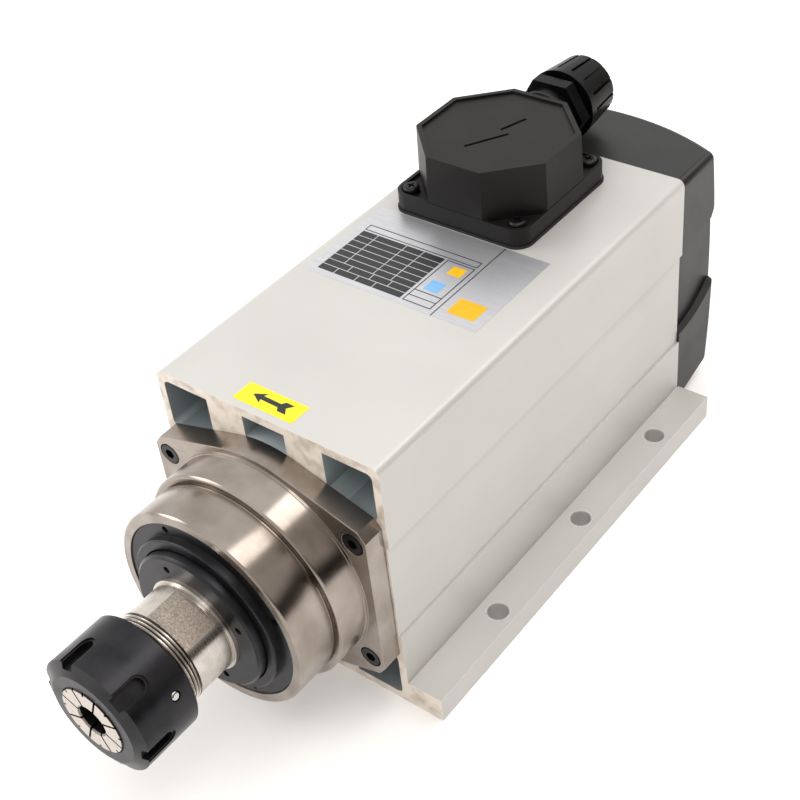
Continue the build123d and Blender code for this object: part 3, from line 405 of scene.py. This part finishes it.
# Blasted steel: the two spanner flats on the shaft, matt, grainy and grey-brown
blastedSteel = {
    "name": "blastedSteel",
    "colour": "#B5AAA0",
    "scuff": "#948A80",
    "grain": 0.5,  # about twice the real grain
    "depth": 0.03,
    "flow": 0.7,
    "spread": 0.08,
    "shader": {"Metallic": 1.0, "Roughness": 0.6},
}

# Rubbed edges: where anodised skin bends sharply it is thin and polished, and the edges are also painted near
# white as a highlight, so they draw bright lines
edgeWearAndHighlight = {
    "name": "edgeWearAndHighlightAluminium",
    "colour": "#FFFFFF",
    "scuff": "#F0EEEB",
    "grain": 0.8,
    "depth": 0.002,
    "flow": 3.0,
    "spread": 0.05,
    "shader": {"Metallic": 0.2, "Roughness": 0.35},
}


def makeGrained(finish):
    material, tree, shader, place = startMaterial(finish)
    where = place.outputs["Object"]
    grain = patches(tree, where, finish["grain"], detail=2.0)
    flow = patches(tree, where, finish["flow"])
    finishSurface(tree, shader, finish, tint(tree, flow, finish["colour"], finish["scuff"]), flow, grain)
    return material


# Lamination steel: stamped sheets stacked along the shaft, dark with fine edges
laminations = {
    "name": "laminationSteel",
    "colour": "#5A5B5E",
    "dull": "#3E3F42",
    "ringSpacing": 1.0,  # two sheets to each line
    "stain": 8.0,
    "shader": {"Metallic": 1.0, "Roughness": 0.5},
}

# Copper winding: enamelled wire, varnished, warm brown with the lines of the wires
copperWinding = {
    "name": "varnishedCopper",
    "colour": "#A5602E",
    "dull": "#7A421E",
    "ringSpacing": 1.2,
    "stain": 7.0,
    "shader": {"Metallic": 1.0, "Roughness": 0.35, "Coat Weight": 0.6},
}

# Brass: turned, yellow and bright
turnedBrass = {
    "name": "turnedBrass",
    "colour": "#C2A05A",
    "dull": "#A28245",
    "ringSpacing": 0.4,
    "stain": 4.0,
    "shader": {"Metallic": 1.0, "Roughness": 0.3},
}

# Bearing steel: hardened and polished to a mirror
bearingSteel = {
    "name": "bearingSteel",
    "colour": "#C4C3C0",
    "dull": "#B2B1AE",
    "ringSpacing": 0.3,
    "stain": 6.0,
    "shader": {"Metallic": 1.0, "Roughness": 0.12},
}

# Bare aluminium: the cut rims of the base holes, brighter than the anodised skin round them
cutAluminium = {
    "name": "cutAluminium",
    "colour": "#EFEEEC",
    "dull": "#DAD9D7",
    "ringSpacing": 0.5,
    "stain": 2.0,
    "shader": {"Metallic": 1.0, "Roughness": 0.3},
}

# Collet steel: hardened and ground, the brightest metal here, with a warm tint on its face;
# the slit walls and the cone round the face are painted dark as shade
colletSteel = {
    "name": "colletSteel",
    "colour": "#CFC6BE",
    "speck": "#8F8780",
    "speckSize": 0.8,
    "speckFrom": (0.62, 0.72),
    "depth": 0.004,
    # painted shade: the dark colour on the slit walls and the cone, a painted shadow in the gap round the
    # face
    "slitShade": "#1B1917",
    "endFacing": (0.6, 0.9),
    "spread": 0.07,
    "shader": {"Metallic": 0.6, "Roughness": 0.45},
}


def makeColletSteel(finish):
    material, tree, shader, place = startMaterial(finish)
    specks = patches(tree, place.outputs["Object"], finish["speckSize"], detail=4.0)
    ground = tint(tree, specks, finish["colour"], finish["speck"], *finish["speckFrom"])
    face = endFaces(tree, place, *finish["endFacing"])
    # painted shade: everything but the face, the slit walls and the cone in the gap round it, takes the dark
    # colour
    shade = addNode(tree, "Mix", {0: face, 6: finish["slitShade"], 7: ground}, data_type="RGBA")
    finishSurface(tree, shader, finish, shade, specks, specks)
    return material


materials = {
    "anodised": makeAnodisedAluminium(anodisedAluminium),
    "edgeWearAndHighlight": makeGrained(edgeWearAndHighlight),
    "blasted": makeGrained(blastedSteel),
    "collet": makeColletSteel(colletSteel),
    "cutAluminium": makeTurned(cutAluminium),
    "nickel": makeNickelPlate(nickelPlate),
    "ground": makeTurned(groundSteel),
    "thread": makeCutThread(cutThread),
    "bearing": makeTurned(bearingSteel),
    "lamination": makeTurned(laminations),
    "copper": makeTurned(copperWinding),
    "brass": makeTurned(turnedBrass),
    "blackOxide": makeBlackOxide(blackOxide),
    "moulded": makeGrained(mouldedNylon),
    "gland": makeGrained(glandNylon),
    "cover": makeGrained(coverPlastic),
    "rubber": makeGrained(sealRubber),
    "phenolic": makeGrained(phenolic),
    "cast": makeGrained(castAluminium),
}

# Which pieces of the model wear each finish
wears = {
    "anodised": ["motor_housing"],
    "nickel": ["front_bearing_housing"],
    "ground": ["spindle_shaft", "nut_grip_ring", "outer_spacer", "inner_spacer", "disc_spring", "fan_key"],
    "collet": ["collet"],
    "bearing": ["front_bearing_outer_rings", "front_bearing_inner_rings", "front_bearing_balls",
                "rear_bearing_outer_ring", "rear_bearing_inner_ring", "rear_bearing_balls", "nut_balls",
                "nut_plug"],
    "lamination": ["stator_core", "rotor_core"],
    "copper": ["stator_windings"],
    "brass": ["terminal_studs", "terminal_nuts", "earth_screw"],
    "blackOxide": ["front_flange_screws", "bearing_cover_ring", "labyrinth_ring", "collet_nut",
                   "spindle_locknut", "rear_bracket_screws", "rear_retaining_ring", "fan_retaining_ring",
                   "rear_cover_screws", "terminal_box_screws"],
    "moulded": ["fan", "terminal_box"],
    "cover": ["rear_cover"],
    "gland": ["gland_collar", "gland_body", "gland_nut"],
    "rubber": ["terminal_box_gasket", "gland_seal_ring", "gland_seal"],
    "phenolic": ["front_bearing_cages", "terminal_board"],
    "cast": ["rotor_cage_rings", "rear_bracket"],
}

for finishName, nodeNames in wears.items():
    for nodeName in nodeNames:
        for materialSlot in nodes[nodeName].material_slots:
            materialSlot.material = materials[finishName]
print("materials made:", len(materials))


# Mesh helpers

def newMesh(name, verts, faces):
    mesh = bpy.data.meshes.new(name)
    mesh.from_pydata([[value * mm for value in vert] for vert in verts], [], faces)
    return mesh


def newPiece(name, verts, faces, material, body):
    mesh = newMesh(name, verts, faces)
    mesh.validate()
    mesh.materials.append(material)
    piece = addObject(name, mesh)
    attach(piece, body)
    return piece


def smoothByAngle(mesh, limit=32):
    # Edges that bend by less than the limit, in degrees, shade as one surface
    shape = bmesh.new()
    shape.from_mesh(mesh)
    bmesh.ops.recalc_face_normals(shape, faces=shape.faces)
    for face in shape.faces:
        face.smooth = True
    for edge in shape.edges:
        edge.smooth = len(edge.link_faces) == 2 and edge.calc_face_angle(0) < math.radians(limit)
    shape.to_mesh(mesh)
    shape.free()


def joined(shapes):
    # Several closed shapes as one list of points and one of faces
    verts, faces = [], []
    for shapeVerts, shapeFaces in shapes:
        start = len(verts)
        verts += shapeVerts
        faces += [[start + index for index in face] for face in shapeFaces]
    return verts, faces


def closedFaces(rows, columns):
    # Faces of a grid of points that closes on itself both ways
    faces = []
    for row in range(rows):
        here, beyond = row * columns, (row + 1) % rows * columns
        for column in range(columns):
            after = (column + 1) % columns
            faces.append((here + column, here + after, beyond + after, beyond + column))
    return faces


def ringPoint(centre, length, radius, angle, upright=False):
    # A point on a ring round an axis along Y, or along Z where the ring lies flat
    across, rise = radius * math.sin(angle), radius * math.cos(angle)
    if upright:
        return (centre[0] + across, centre[1] + rise, length)
    return (centre[0] + across, length, centre[2] + rise)


def turnedMesh(outline, centre, around, upright=False):
    # A closed outline of (length, radius) points turned round an axis
    verts = [ringPoint(centre, length, radius, 2 * math.pi * step / around, upright)
             for step in range(around) for length, radius in outline]
    return verts, closedFaces(around, len(outline))


def prism(outline, low, high):
    # A loop of (x, y) points raised from low to high
    count = len(outline)
    verts = [(x, y, height) for height in (low, high) for x, y in outline]
    faces = [tuple(reversed(range(count))), tuple(range(count, 2 * count))]
    for index in range(count):
        after = (index + 1) % count
        faces.append((index, after, count + after, count + index))
    return verts, faces


def box(x1, x2, y1, y2):
    return [(x1, y1), (x2, y1), (x2, y2), (x1, y2)]


def copyOfNode(nodeName, pieceName, body):
    # A welded copy of a CAD node that detail can be cut into
    mesh = nodes[nodeName].data.copy()
    shape = bmesh.new()
    shape.from_mesh(mesh)
    bmesh.ops.remove_doubles(shape, verts=shape.verts, dist=weldReach * mm)
    shape.to_mesh(mesh)
    shape.free()
    piece = addObject(pieceName, mesh)
    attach(piece, body)
    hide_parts(nodeName)
    return piece


def cutAway(piece, verts, faces):
    # Takes a closed tool shape out of the piece
    toolMesh = newMesh("cutter", verts, faces)
    tool = addObject("cutter", toolMesh)
    smoothByAngle(toolMesh)
    cut = piece.modifiers.new("cut", "BOOLEAN")
    cut.object = tool
    cut.operation = "DIFFERENCE"
    cut.solver = "EXACT"
    made = bpy.data.meshes.new_from_object(piece.evaluated_get(bpy.context.evaluated_depsgraph_get()))
    piece.modifiers.clear()
    piece.data = made
    bpy.data.objects.remove(tool)


# Threads: the CAD has plain cylinders, here the thread is cut in and wound on

threadForm = {
    "pitch": 1.5,
    "rootFlat": 0.12,  # flat at the root, as a share of half a pitch
    "flank": 0.7,
    "runOut": 0.8,  # the thread fades in and out over this length
    "core": 0.3,  # how far the wound piece reaches in below its root
    "clear": 1.0,  # how far its seat is cut past the crests
    "sharpest": 40,  # degrees
}
shaftThread = {
    **threadForm, "front": -204.0, "rear": -181.1, "radius": 19.95, "depth": 0.92, "around": 96,
    "centre": spindleCentre, "stepsPerPitch": 10,
}
glandThread = {
    **threadForm, "front": 99.5, "rear": 106.9, "radius": 12.55, "depth": 0.7, "around": 72,
    "centre": glandCentre, "stepsPerPitch": 8,
}


def threadRadius(thread, length, angle):
    turn = (length / thread["pitch"] - angle / (2 * math.pi)) % 1.0
    crest = min(1.0, max(0.0, (1 - abs(2 * turn - 1) - thread["rootFlat"]) / thread["flank"]))
    fromEnd = min(length - thread["front"], thread["rear"] - length)
    fade = min(1.0, max(0.0, fromEnd / thread["runOut"]))
    return thread["radius"] - thread["depth"] * (1 - crest * fade)


def makeThread(name, thread, material, body):
    front, rear, around = thread["front"], thread["rear"], thread["around"]
    core = thread["radius"] - thread["depth"] - thread["core"]
    rows = round((rear - front) / thread["pitch"] * thread["stepsPerPitch"])
    lengths = [front + (rear - front) * row / rows for row in range(rows + 1)]
    angles = [2 * math.pi * step / around for step in range(around)]
    verts = [ringPoint(thread["centre"], length, threadRadius(thread, length, angle), angle)
             for length in lengths for angle in angles]
    verts += [ringPoint(thread["centre"], length, core, angle) for length in (rear, front)
              for angle in angles]
    piece = newPiece(name, verts, closedFaces(rows + 3, around), material, body)
    smoothByAngle(piece.data, thread["sharpest"])
    return piece


def threadCutter(thread):
    front, rear = thread["front"], thread["rear"]
    low = thread["radius"] - thread["depth"] - thread["core"]
    high = thread["radius"] + thread["clear"]
    return turnedMesh(box(front, rear, low, high), thread["centre"], thread["around"])


spannerFlats = {
    "turn": 22.5,  # degrees from straight up
    "distance": 17.2,  # from the axis
    "reach": (-181.1, -177.0),  # the flats run on to the end of the thread
    "span": 25,  # past the shaft's outside
    "squareTo": 0.999,  # a face belongs to a flat when it looks this nearly the same way
    "offBy": 0.05,
}


def cutFlats(piece, flats):
    turn = math.radians(flats["turn"])
    span = flats["span"]
    corners, faces = prism(box(-span, span, *flats["reach"]), flats["distance"], span)
    for side in (1, -1):
        verts = [(side * (x * math.cos(turn) + z * math.sin(turn)), y,
                  spindleCentre[2] + side * (z * math.cos(turn) - x * math.sin(turn))) for x, y, z in corners]
        cutAway(piece, verts, faces)


def dressFlats(piece, flats, material):
    # A second material on the two flats, found by their distance from the axis
    piece.data.materials.append(material)
    turn = math.radians(flats["turn"])
    outward = Vector((math.sin(turn), 0, math.cos(turn)))
    for face in piece.data.polygons:
        away = abs((face.center / mm - Vector(spindleCentre)).dot(outward))
        if (abs(face.normal.dot(outward)) > flats["squareTo"]
                and abs(away - flats["distance"]) < flats["offBy"]):
            face.material_index = len(piece.data.materials) - 1


shaft = copyOfNode("spindle_shaft", "shaftTurned", "spindle")
cutAway(shaft, *threadCutter(shaftThread))
cutFlats(shaft, spannerFlats)
smoothByAngle(shaft.data)
dressFlats(shaft, spannerFlats, materials["blasted"])
makeThread("shaftThread", shaftThread, materials["thread"], "spindle")
glandBody = copyOfNode("gland_body", "glandBodyCut", "housing")
cutAway(glandBody, *threadCutter(glandThread))
smoothByAngle(glandBody.data)
makeThread("glandThread", glandThread, materials["gland"], "housing")
print("threads wound")


# Lid: two plain grooves side by side, cut into its recessed face

lidGrooves = {
    "ends": [((-14.2, 37.9), (-4.3, 53.7)), ((-8.6, 56.1), (-4.7, 67.6))],
    "floor": 154.0,
    "over": 155.8,  # above the lid's face
    "width": 1.5,
    "roundStep": 30,  # degrees
}


def cutLidGrooves(grooves):
    lid = copyOfNode("terminal_box", "terminalBoxGrooved", "housing")
    half = grooves["width"] / 2
    angles = [math.radians(step) for step in range(-90, 91, grooves["roundStep"])]
    for start, end in grooves["ends"]:
        run = (Vector(end) - Vector(start)).normalized()
        side = Vector((-run.y, run.x))
        outline = [Vector(point) + (run * math.cos(angle) + side * math.sin(angle)) * half * sign
                   for point, sign in ((end, 1), (start, -1)) for angle in angles]
        cutAway(lid, *prism(outline, grooves["floor"], grooves["over"]))
    smoothByAngle(lid.data)
    return lid


groovedLid = cutLidGrooves(lidGrooves)


# Base holes: a bright countersunk rim round the mouth of each

holeRims = {
    "x": 62.5, "pitch": 63.0, "around": 48,
    "outline": [(11.55, 4.46), (12.03, 4.92), (12.03, 5.25), (11.5, 4.9)],  # (height, radius)
}


def makeHoleRims(rims):
    verts, faces = joined(turnedMesh(rims["outline"], (x, y, 0), rims["around"], upright=True)
                          for x in (-rims["x"], rims["x"]) for y in (-rims["pitch"], 0, rims["pitch"]))
    piece = newPiece("baseHoleRims", verts, faces, materials["cutAluminium"], "housing")
    smoothByAngle(piece.data)


makeHoleRims(holeRims)
print("lid grooves cut, base holes rimmed")


# Stickers on the top: plain, with bare table cells and rules

# Foil: silver polyester film, smooth with a faint brushed sheen
silverFoil = {
    "name": "silverFoil", "colour": "#D6D7DB", "cloud": "#CACBD0", "brush": 0.6,
    "shader": {"Metallic": 0.75, "Roughness": 0.38},
}
# Printed ink: thin and even, slightly glossy, with a soft mottle
blackInk = {"name": "blackInk", "colour": "#17171A", "cloud": "#222226", "brush": 1.5,
            "shader": {"Metallic": 0.0, "Roughness": 0.4}}
amberInk = {"name": "amberInk", "colour": "#F2B705", "cloud": "#E9AC00", "brush": 2.0,
            "shader": {"Metallic": 0.0, "Roughness": 0.4}}
blueInk = {"name": "blueInk", "colour": "#7FB6E6", "cloud": "#74ABDC", "brush": 2.0,
           "shader": {"Metallic": 0.0, "Roughness": 0.4}}
# Vinyl: the yellow sticker's film, smooth and a little glossier than the ink
yellowVinyl = {"name": "yellowVinyl", "colour": "#F5EA1C", "cloud": "#EDE010", "brush": 3.0,
               "shader": {"Metallic": 0.0, "Roughness": 0.35}}
filmMarks = {"spread": 0.05, "stretch": (0.05, 1, 1)}  # what all films share


def makeFilm(finish):
    material, tree, shader, place = startMaterial(finish)
    brush = patches(tree, place.outputs["Object"], finish["brush"], stretch=filmMarks["stretch"])
    shade = tint(tree, brush, finish["colour"], finish["cloud"])
    finishSurface(tree, shader, {**filmMarks, **finish}, shade, brush)
    return material


films = {key: makeFilm(finish) for key, finish in (
    ("foil", silverFoil), ("black", blackInk), ("amber", amberInk), ("blue", blueInk),
    ("yellow", yellowVinyl))}


def makeFlats(name, outlines, low, high, material):
    # Thin flat shapes lying on the housing, each outline a loop of (x, y) points
    verts, faces = joined(prism(outline, low, high) for outline in outlines)
    return newPiece(name, verts, faces, material, "housing")


def outlineBars(x1, x2, y1, y2, width):
    return [box(x1, x2, y1, y1 + width), box(x1, x2, y2 - width, y2),
            box(x1, x1 + width, y1 + width, y2 - width), box(x2 - width, x2, y1 + width, y2 - width)]


ratingPlate = {
    "edges": (-47.5, 38.0, -32.3, 19.6),  # left, right, front, rear
    "film": 0.08,  # thickness
    "ink": 0.05,
    "table": (-43.2, -0.5, -29.3, 1.6),
    "rowSplits": [(0.19, 0.54, 0.75)] * 6 + [(0.3, 0.56, 0.78), (0.2, 0.45, 0.66)],
    "rule": 0.45,
    "strip": (-43.2, 14.3, 2.4, 6.4),
    "panel": (0.6, 14.3, -29.3, 1.4),
    "panelLines": (-21.6, -25.4),
    "divider": 16.6,
    "amberBlocks": [(5.6, 12.0, -6.6, -1.0), (20.6, 33.4, -27.4, -17.2)],
    "blueBlock": (3.6, 10.4, -19.6, -12.6),
}


def makeRatingPlate(plate):
    top = housingTop + plate["film"]
    inkTop = top + plate["ink"]
    makeFlats("plateFoil", [box(*plate["edges"])], housingTop, top, films["foil"])
    x1, x2, y1, y2 = plate["table"]
    rule, half = plate["rule"], plate["rule"] / 2
    rowHeight = (y2 - y1) / len(plate["rowSplits"])
    cells = []
    for row, splits in enumerate(plate["rowSplits"]):
        rowTop = y2 - row * rowHeight
        sides = [0.0, *splits, 1.0]
        for left, right in zip(sides, sides[1:]):
            cells.append(box(x1 + (x2 - x1) * left + half, x1 + (x2 - x1) * right - half,
                             rowTop - rowHeight + half, rowTop - half))
    makeFlats("plateCells", cells, top, inkTop, films["black"])
    rules = outlineBars(*plate["strip"], rule) + outlineBars(*plate["panel"], rule)
    panelLeft, panelRight = plate["panel"][:2]
    rules += [box(panelLeft + rule, panelRight - rule, y, y + rule) for y in plate["panelLines"]]
    front, rear = plate["edges"][2:]
    rules.append(box(plate["divider"] - half, plate["divider"] + half, front, rear))
    makeFlats("plateRules", rules, top, inkTop, films["black"])
    makeFlats("plateAmber", [box(*block) for block in plate["amberBlocks"]], top, inkTop, films["amber"])
    makeFlats("plateBlue", [box(*plate["blueBlock"])], top, inkTop, films["blue"])


arrowSticker = {
    "edges": (-16.8, 12.0, -109.3, -99.0),
    "tip": (-11.3, -103.7),
    "tail": (6.2, -104.0),
    "headLength": 5.2,
    "headWidth": 5.6,
    "barb": 0.8,  # how far the head's back corners sweep back
    "shaftWidth": 2.1,
    "flightLength": 4.6,
    "flightWidth": 5.4,
    "flightSweep": 1.2,
    "flightOver": 0.6,  # past the tail point
    "notch": 1.4,
    "film": 0.08,
    "ink": 0.03,
}


def makeArrowSticker(sticker):
    top = housingTop + sticker["film"]
    makeFlats("arrowFilm", [box(*sticker["edges"])], housingTop, top, films["yellow"])
    tip, tail = Vector(sticker["tip"]), Vector(sticker["tail"])
    run = (tail - tip).normalized()
    side = Vector((-run.y, run.x))
    length = (tail - tip).length
    half = sticker["shaftWidth"] / 2
    head, flight = sticker["headLength"], length - sticker["flightLength"]
    halfHead, halfFlight = sticker["headWidth"] / 2, sticker["flightWidth"] / 2
    loop = [(0, 0), (head, halfHead), (head - sticker["barb"], half), (flight, half),
            (flight + sticker["flightSweep"], halfFlight), (length + sticker["flightOver"], halfFlight),
            (length - sticker["notch"], 0)]
    loop += [(along, -across) for along, across in reversed(loop[1:-1])]
    points = [tip + run * along + side * across for along, across in loop]
    makeFlats("arrowInk", [points], top, top + sticker["ink"], films["black"])


makeRatingPlate(ratingPlate)
makeArrowSticker(arrowSticker)
print("stickers laid")


# Edges of the CAD nodes: broken a little, as real edges are, so they catch the light

brokenEdges = {
    "widths": {"motor_housing": 0.55, "front_bearing_housing": 0.25, "rear_cover": 0.5,
               "labyrinth_ring": 0.2, "bearing_cover_ring": 0.2},
    "lidWidth": 0.5,
    "segments": 2,
    "sharperThan": 40,  # degrees
}


def breakEdges(piece, width, edges):
    weld = piece.modifiers.new("weld", "WELD")
    weld.merge_threshold = weldReach * mm
    edge = piece.modifiers.new("edge", "BEVEL")
    edge.width = width * mm
    edge.segments = edges["segments"]
    edge.limit_method = "ANGLE"
    edge.angle_limit = math.radians(edges["sharperThan"])
    edge.use_clamp_overlap = True
    edge.harden_normals = False


def paintEdgeWearAndHighlight(piece, material):
    # The broken edges take a material of their own, worn bare and painted near white as a highlight
    piece.data.materials.append(material)
    piece.modifiers["edge"].material = len(piece.data.materials) - 1


for nodeName, edgeWidth in brokenEdges["widths"].items():
    breakEdges(nodes[nodeName], edgeWidth, brokenEdges)
breakEdges(groovedLid, brokenEdges["lidWidth"], brokenEdges)
paintEdgeWearAndHighlight(nodes["motor_housing"], materials["edgeWearAndHighlight"])
print("edges broken")


# Floor and light, in metres

# Lit table: white acrylic lit from below, so it looks pale and even and shadows stay faint
litTable = {
    "name": "litTable", "colour": "#F3F2F1", "size": 6.0,
    "fibre": 6.0,  # millimetres
    "spread": 0.04,
    "shader": {"Metallic": 0.0, "Roughness": 0.7, "Emission Color": (1.0, 1.0, 1.0, 1.0),
               "Emission Strength": 0.19},
}
studioLights = [
    {"name": "topStrip", "place": (0.48, 0.35, 1.3), "target": (0.48, 0.35, 0), "size": (0.5, 2.4),
     "power": 11.6, "colour": "#FFFDFA"},
    {"name": "leftFill", "place": (-1.2, -0.7, 0.7), "target": (0, -0.1, 0.06), "size": (0.7, 0.7),
     "power": 6.5, "colour": "#FFFDFB"},
]
# The room as the metal mirrors it: pale to the left and above, dimmer to the right, and a dark gap
# over the table's right edge; the camera itself sees a plain pale backdrop
room = {
    "left": "#FFFEFC", "right": "#BFB9B3", "gap": "#15120F", "backdrop": "#E9E9E8", "strength": 1.1,
    "turnsDim": (0.05, 0.45),  # from left to right
    "gapSide": (0.4, 0.65),
    "gapHeight": (0.2, 0.36),
}


def makeTable(look):
    half = look["size"] / 2
    mesh = bpy.data.meshes.new("studioFloor")
    mesh.from_pydata([(-half, -half, 0), (half, -half, 0), (half, half, 0), (-half, half, 0)], [],
                     [(0, 1, 2, 3)])
    floor = addObject("studioFloor", mesh)
    material, tree, shader, place = startMaterial(look)
    finishSurface(tree, shader, look, look["colour"],
                  patches(tree, place.outputs["Object"], look["fibre"], detail=4.0))
    mesh.materials.append(material)


def makeLight(light):
    data = bpy.data.lights.new(light["name"], "AREA")
    data.shape = "RECTANGLE"
    data.size, data.size_y = light["size"]
    data.energy = light["power"]
    data.color = linearColour(light["colour"])[:3]
    lamp = addObject(light["name"], data)
    spot = Vector(light["place"])
    turn = (Vector(light["target"]) - spot).to_track_quat("-Z", "Y").to_matrix().to_4x4()
    lamp.matrix_world = Matrix.Translation(spot) @ turn


def makeRoom(look):
    sky = bpy.data.worlds.new("studioWorld")
    sky.use_nodes = True
    tree = sky.node_tree
    gaze = addNode(tree, "SeparateXYZ", {0: addNode(tree, "TexCoord", {}).outputs["Generated"]})
    walls = tint(tree, gaze.outputs["X"], look["left"], look["right"], *look["turnsDim"])
    start, end = look["gapSide"]
    beside = addNode(tree, "MapRange", {"Value": gaze.outputs["X"], "From Min": start, "From Max": end})
    start, end = look["gapHeight"]
    below = addNode(tree, "MapRange", {"Value": gaze.outputs["Z"], "From Min": start, "From Max": end,
                                       "To Min": 1.0, "To Max": 0.0})
    gap = addNode(tree, "Math", {0: beside, 1: below}, operation="MULTIPLY")
    mirrored = addNode(tree, "Mix", {0: gap, 6: walls, 7: look["gap"]}, data_type="RGBA")
    seen = addNode(tree, "LightPath", {}).outputs["Is Camera Ray"]
    shade = addNode(tree, "Mix", {0: seen, 6: mirrored, 7: look["backdrop"]}, data_type="RGBA")
    feedNode(tree, tree.nodes["Background"], {"Color": shade, "Strength": look["strength"]})
    bpy.context.scene.world = sky


makeTable(litTable)
for studioLight in studioLights:
    makeLight(studioLight)
makeRoom(room)
bpy.context.scene.view_settings.view_transform = "Standard"
print("studio lit")
